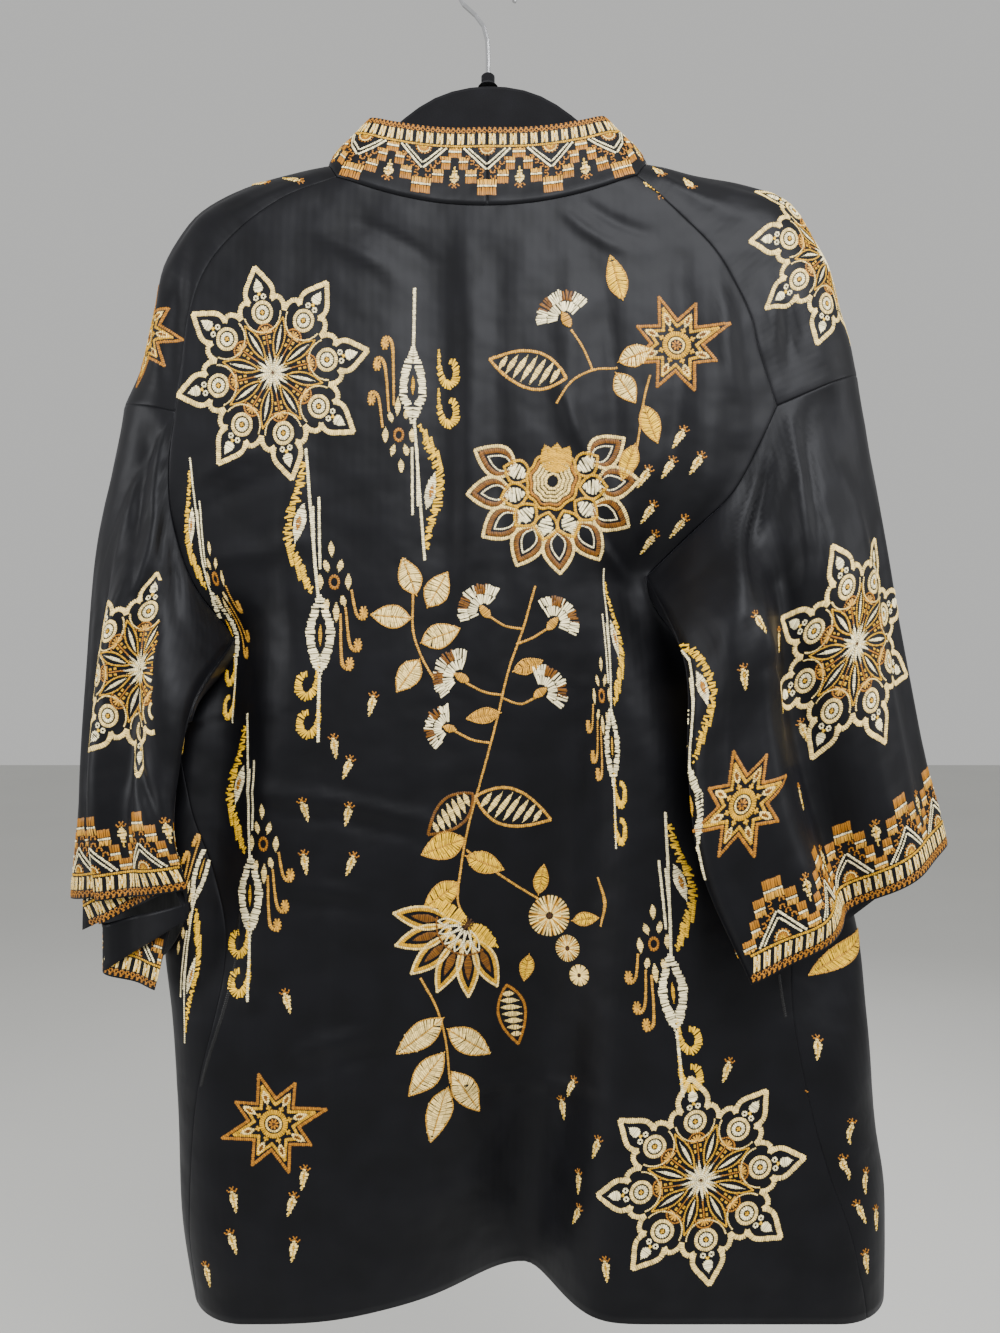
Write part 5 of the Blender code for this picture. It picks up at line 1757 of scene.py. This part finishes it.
def embroider(name):
    """The threads of one panel as one object. A stitch that would lie beyond the edge of the
    panel misses it, and is left out, as where a seam cuts through a motif."""
    stitches = split_long(on_panel(name))
    cloth = GROUND[name]
    found = [find_places(cloth, stitches[:, k:k + 2]) for k in (0, 2)]
    kept = (found[0][2] < MOST_MISS) & (found[1][2] < MOST_MISS)
    stitches = stitches[kept]
    ends, normals = [], []
    for row, column, _ in found:
        normals.append(unit(read_grid(cloth["normals"], row[kept], column[kept])))
        ends.append(read_grid(cloth["points"], row[kept], column[kept]))
    corners = bar_corners(ends, normals, stitches)
    count = len(stitches)
    mesh = bpy.data.meshes.new("threads_" + name)
    mesh.vertices.add(count * 6)
    mesh.vertices.foreach_set("co", (corners * MM).astype(np.float32).ravel())
    faces = (np.arange(count)[:, None, None] * 6 + BAR_FACES[None]).reshape(-1, 3)
    mesh.loops.add(len(faces) * 3)
    mesh.loops.foreach_set("vertex_index", faces.astype(np.int32).ravel())
    mesh.polygons.add(len(faces))
    mesh.polygons.foreach_set("loop_start", np.arange(0, len(faces) * 3, 3, dtype=np.int32))
    mesh.polygons.foreach_set("material_index",
                              np.repeat(stitches[:, 6].astype(np.int32), len(BAR_FACES)))
    mesh.update(calc_edges=True)
    mesh.shade_smooth()
    tone_and_painted_shade = mesh.attributes.new("tone_and_painted_shade", "FLOAT", "POINT")
    # A random tone per stitch, with painted shade at the four corners of its foot.
    drawn = LUCK.uniform(PALEST, 1, (count, 1)) * ((FOOT_PAINTED_SHADE,) * 4 + (1, 1))
    tone_and_painted_shade.data.foreach_set("value", drawn.astype(np.float32).ravel())
    for material in THREAD_MATERIALS:
        mesh.materials.append(material)
    threads = bpy.data.objects.new("threads_" + name, mesh)
    SCENE_OBJECTS.link(threads)
    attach(threads, "root")
    print(name, "stitches", count, "cut off at seams", int((~kept).sum()))
    return threads


THREADS_ON = {name: embroider(name) for name in PANELS
              if name in PLACES or name.startswith(("sleeve", "neckband"))}

# %% [markdown]
# ## The cut
# Each piece is cut flat to the flat measures of its panel above, and none is a plain
# rectangle. A sleeve is one piece all round. The neckband is a strip folded in two. A maker
# adds 10 mm for each seam and 30 mm for hem and cuff.

# %% [markdown]
# ## The hanger
# The hanger's shape in the CAD model is right, so its nodes stay and only get their finish.
# The shoulder bar is plastic coated with flock: nylon fibres that stand upright and swallow
# light. Real fibres, 0.5 mm long, would be lost at this size, so a fine bump and a rough
# surface with a trace of sheen stand for them. The hook is steel wire, drawn and plated
# bright, which gives long soft reflections, and metal keeps the usual IOR.

# %% Finish the hanger
NAP_MM, RUBBED_MM, DRAWN_MM = 0.55556, 22.222, 3.3333


def make_flock():
    """Black nylon flock: a fine nap, a little paler where it is rubbed."""
    material, tree = new_material("nylon_flock_black")
    place = add_node(tree, "ShaderNodeTexCoord")
    nap = add_node(tree, "ShaderNodeTexNoise", {"Scale": 1 / (NAP_MM * MM), "Detail": 2.0},
                   {"Vector": place.outputs["Object"]})
    rubbed = add_node(tree, "ShaderNodeTexNoise",
                      {"Scale": 1 / (RUBBED_MM * MM), "Detail": 3.0},
                      {"Vector": place.outputs["Object"]})
    tone = add_node(tree, "ShaderNodeValToRGB", links={"Fac": rubbed.outputs["Fac"]})
    tone.color_ramp.elements[0].color = linear("#0b0b0c")
    tone.color_ramp.elements[1].color = linear("#17171a")
    bump = add_node(tree, "ShaderNodeBump", {"Strength": 0.5, "Distance": 0.0003},
                    {"Height": nap.outputs["Fac"]})
    shader = add_node(tree, "ShaderNodeBsdfPrincipled",
                      {"Roughness": 0.95, "Specular IOR Level": 0.1, "Sheen Weight": 0.12,
                       "Sheen Roughness": 0.6, "Sheen Tint": linear("#8a8a90")},
                      {"Base Color": tone.outputs["Color"], "Normal": bump.outputs["Normal"]})
    add_node(tree, "ShaderNodeOutputMaterial", links={"Surface": shader.outputs["BSDF"]})
    return material


def make_steel():
    """Plated steel wire: bright, its gloss a little uneven from drawing."""
    material, tree = new_material("steel_wire_plated")
    place = add_node(tree, "ShaderNodeTexCoord")
    drawn = add_node(tree, "ShaderNodeTexNoise", {"Scale": 1 / (DRAWN_MM * MM), "Detail": 2.0},
                     {"Vector": place.outputs["Object"]})
    rough = add_node(tree, "ShaderNodeMapRange", {"To Min": 0.14, "To Max": 0.26},
                     {"Value": drawn.outputs["Fac"]})
    shader = add_node(tree, "ShaderNodeBsdfPrincipled",
                      {"Base Color": linear("#d6d7da"), "Metallic": 1.0},
                      {"Roughness": rough.outputs["Result"]})
    add_node(tree, "ShaderNodeOutputMaterial", links={"Surface": shader.outputs["BSDF"]})
    return material


FLOCK, STEEL = make_flock(), make_steel()
for node, material in (("hanger_body", FLOCK), ("hanger_stud", FLOCK), ("hanger_hook", STEEL)):
    for place in frame["nodes"][node].material_slots:
        place.material = material
print("hanger finished")

# %% [markdown]
# ## Light
# The light is a plain soft studio in a pale room: a large lamp above the camera, a stronger
# one at the left than at the right, both lower and far out, so that they graze the folds,
# and a wide one on the far side, for the front. One sun would be simpler, but black satin
# shows its folds only by the soft shapes that it mirrors.

# %% Light the jacket
LAMPS = (("key", (0.35, -1.15, 0.50), -0.35, 0.9, 39), ("left", (-1.8, -0.9, -0.1), -0.5, 0.9, 31),
         ("right", (1.8, -0.7, 0.2), -0.5, 0.9, 18), ("front", (0.4, 2.0, 0.4), -0.5, 1.4, 20))
ROOM_COLOUR, ROOM_STRENGTH = "#dcdcda", 0.80

for name, place, aim_height, width, watts in LAMPS:
    data = bpy.data.lights.new(name, "AREA")
    data.shape, data.size, data.energy = "DISK", width, watts
    lamp = bpy.data.objects.new(name, data)
    lamp.location = place
    level, fall = math.hypot(place[0], place[1]), place[2] - aim_height
    lamp.rotation_euler = (math.atan2(level, fall), 0, math.atan2(place[0], -place[1]))
    SCENE_OBJECTS.link(lamp)
world = bpy.data.worlds.new("pale_room")
world.use_nodes = True
bpy.context.scene.world = world
room = world.node_tree.nodes["Background"].inputs
room["Color"].default_value = linear(ROOM_COLOUR)
room["Strength"].default_value = ROOM_STRENGTH
print("lamps:", len(LAMPS))

# %% [markdown]
# ## Floor
# A sheet of pale painted board, well below the hem. A curved backdrop would hide the line
# where floor and room meet, but a plain level floor is enough for a jacket that hangs.

# %% Lay the floor
FLOOR_LEVEL, FLOOR_HALF = -1.45, 9
FLOOR_CLOUD_MM = 666.67


def make_floor():
    """Pale painted board, matt, with a faint cloud in its tone."""
    material, tree = new_material("floor_painted_pale")
    place = add_node(tree, "ShaderNodeTexCoord")
    cloud = add_node(tree, "ShaderNodeTexNoise",
                     {"Scale": 1 / (FLOOR_CLOUD_MM * MM), "Detail": 3.0},
                     {"Vector": place.outputs["Object"]})
    tone = add_node(tree, "ShaderNodeValToRGB", links={"Fac": cloud.outputs["Fac"]})
    tone.color_ramp.elements[0].color = linear("#c9c9c6")
    tone.color_ramp.elements[1].color = linear("#d0d0cd")
    shader = add_node(tree, "ShaderNodeBsdfPrincipled", {"Roughness": 0.8},
                      {"Base Color": tone.outputs["Color"]})
    add_node(tree, "ShaderNodeOutputMaterial", links={"Surface": shader.outputs["BSDF"]})
    return material


floor_mesh = bpy.data.meshes.new("floor")
corners = [(x * FLOOR_HALF, y * FLOOR_HALF, FLOOR_LEVEL)
           for x, y in ((-1, -1), (1, -1), (1, 1), (-1, 1))]
floor_mesh.from_pydata(corners, [], [(0, 1, 2, 3)])
floor_mesh.materials.append(make_floor())
floor = bpy.data.objects.new("floor", floor_mesh)
SCENE_OBJECTS.link(floor)
print("floor at", FLOOR_LEVEL)
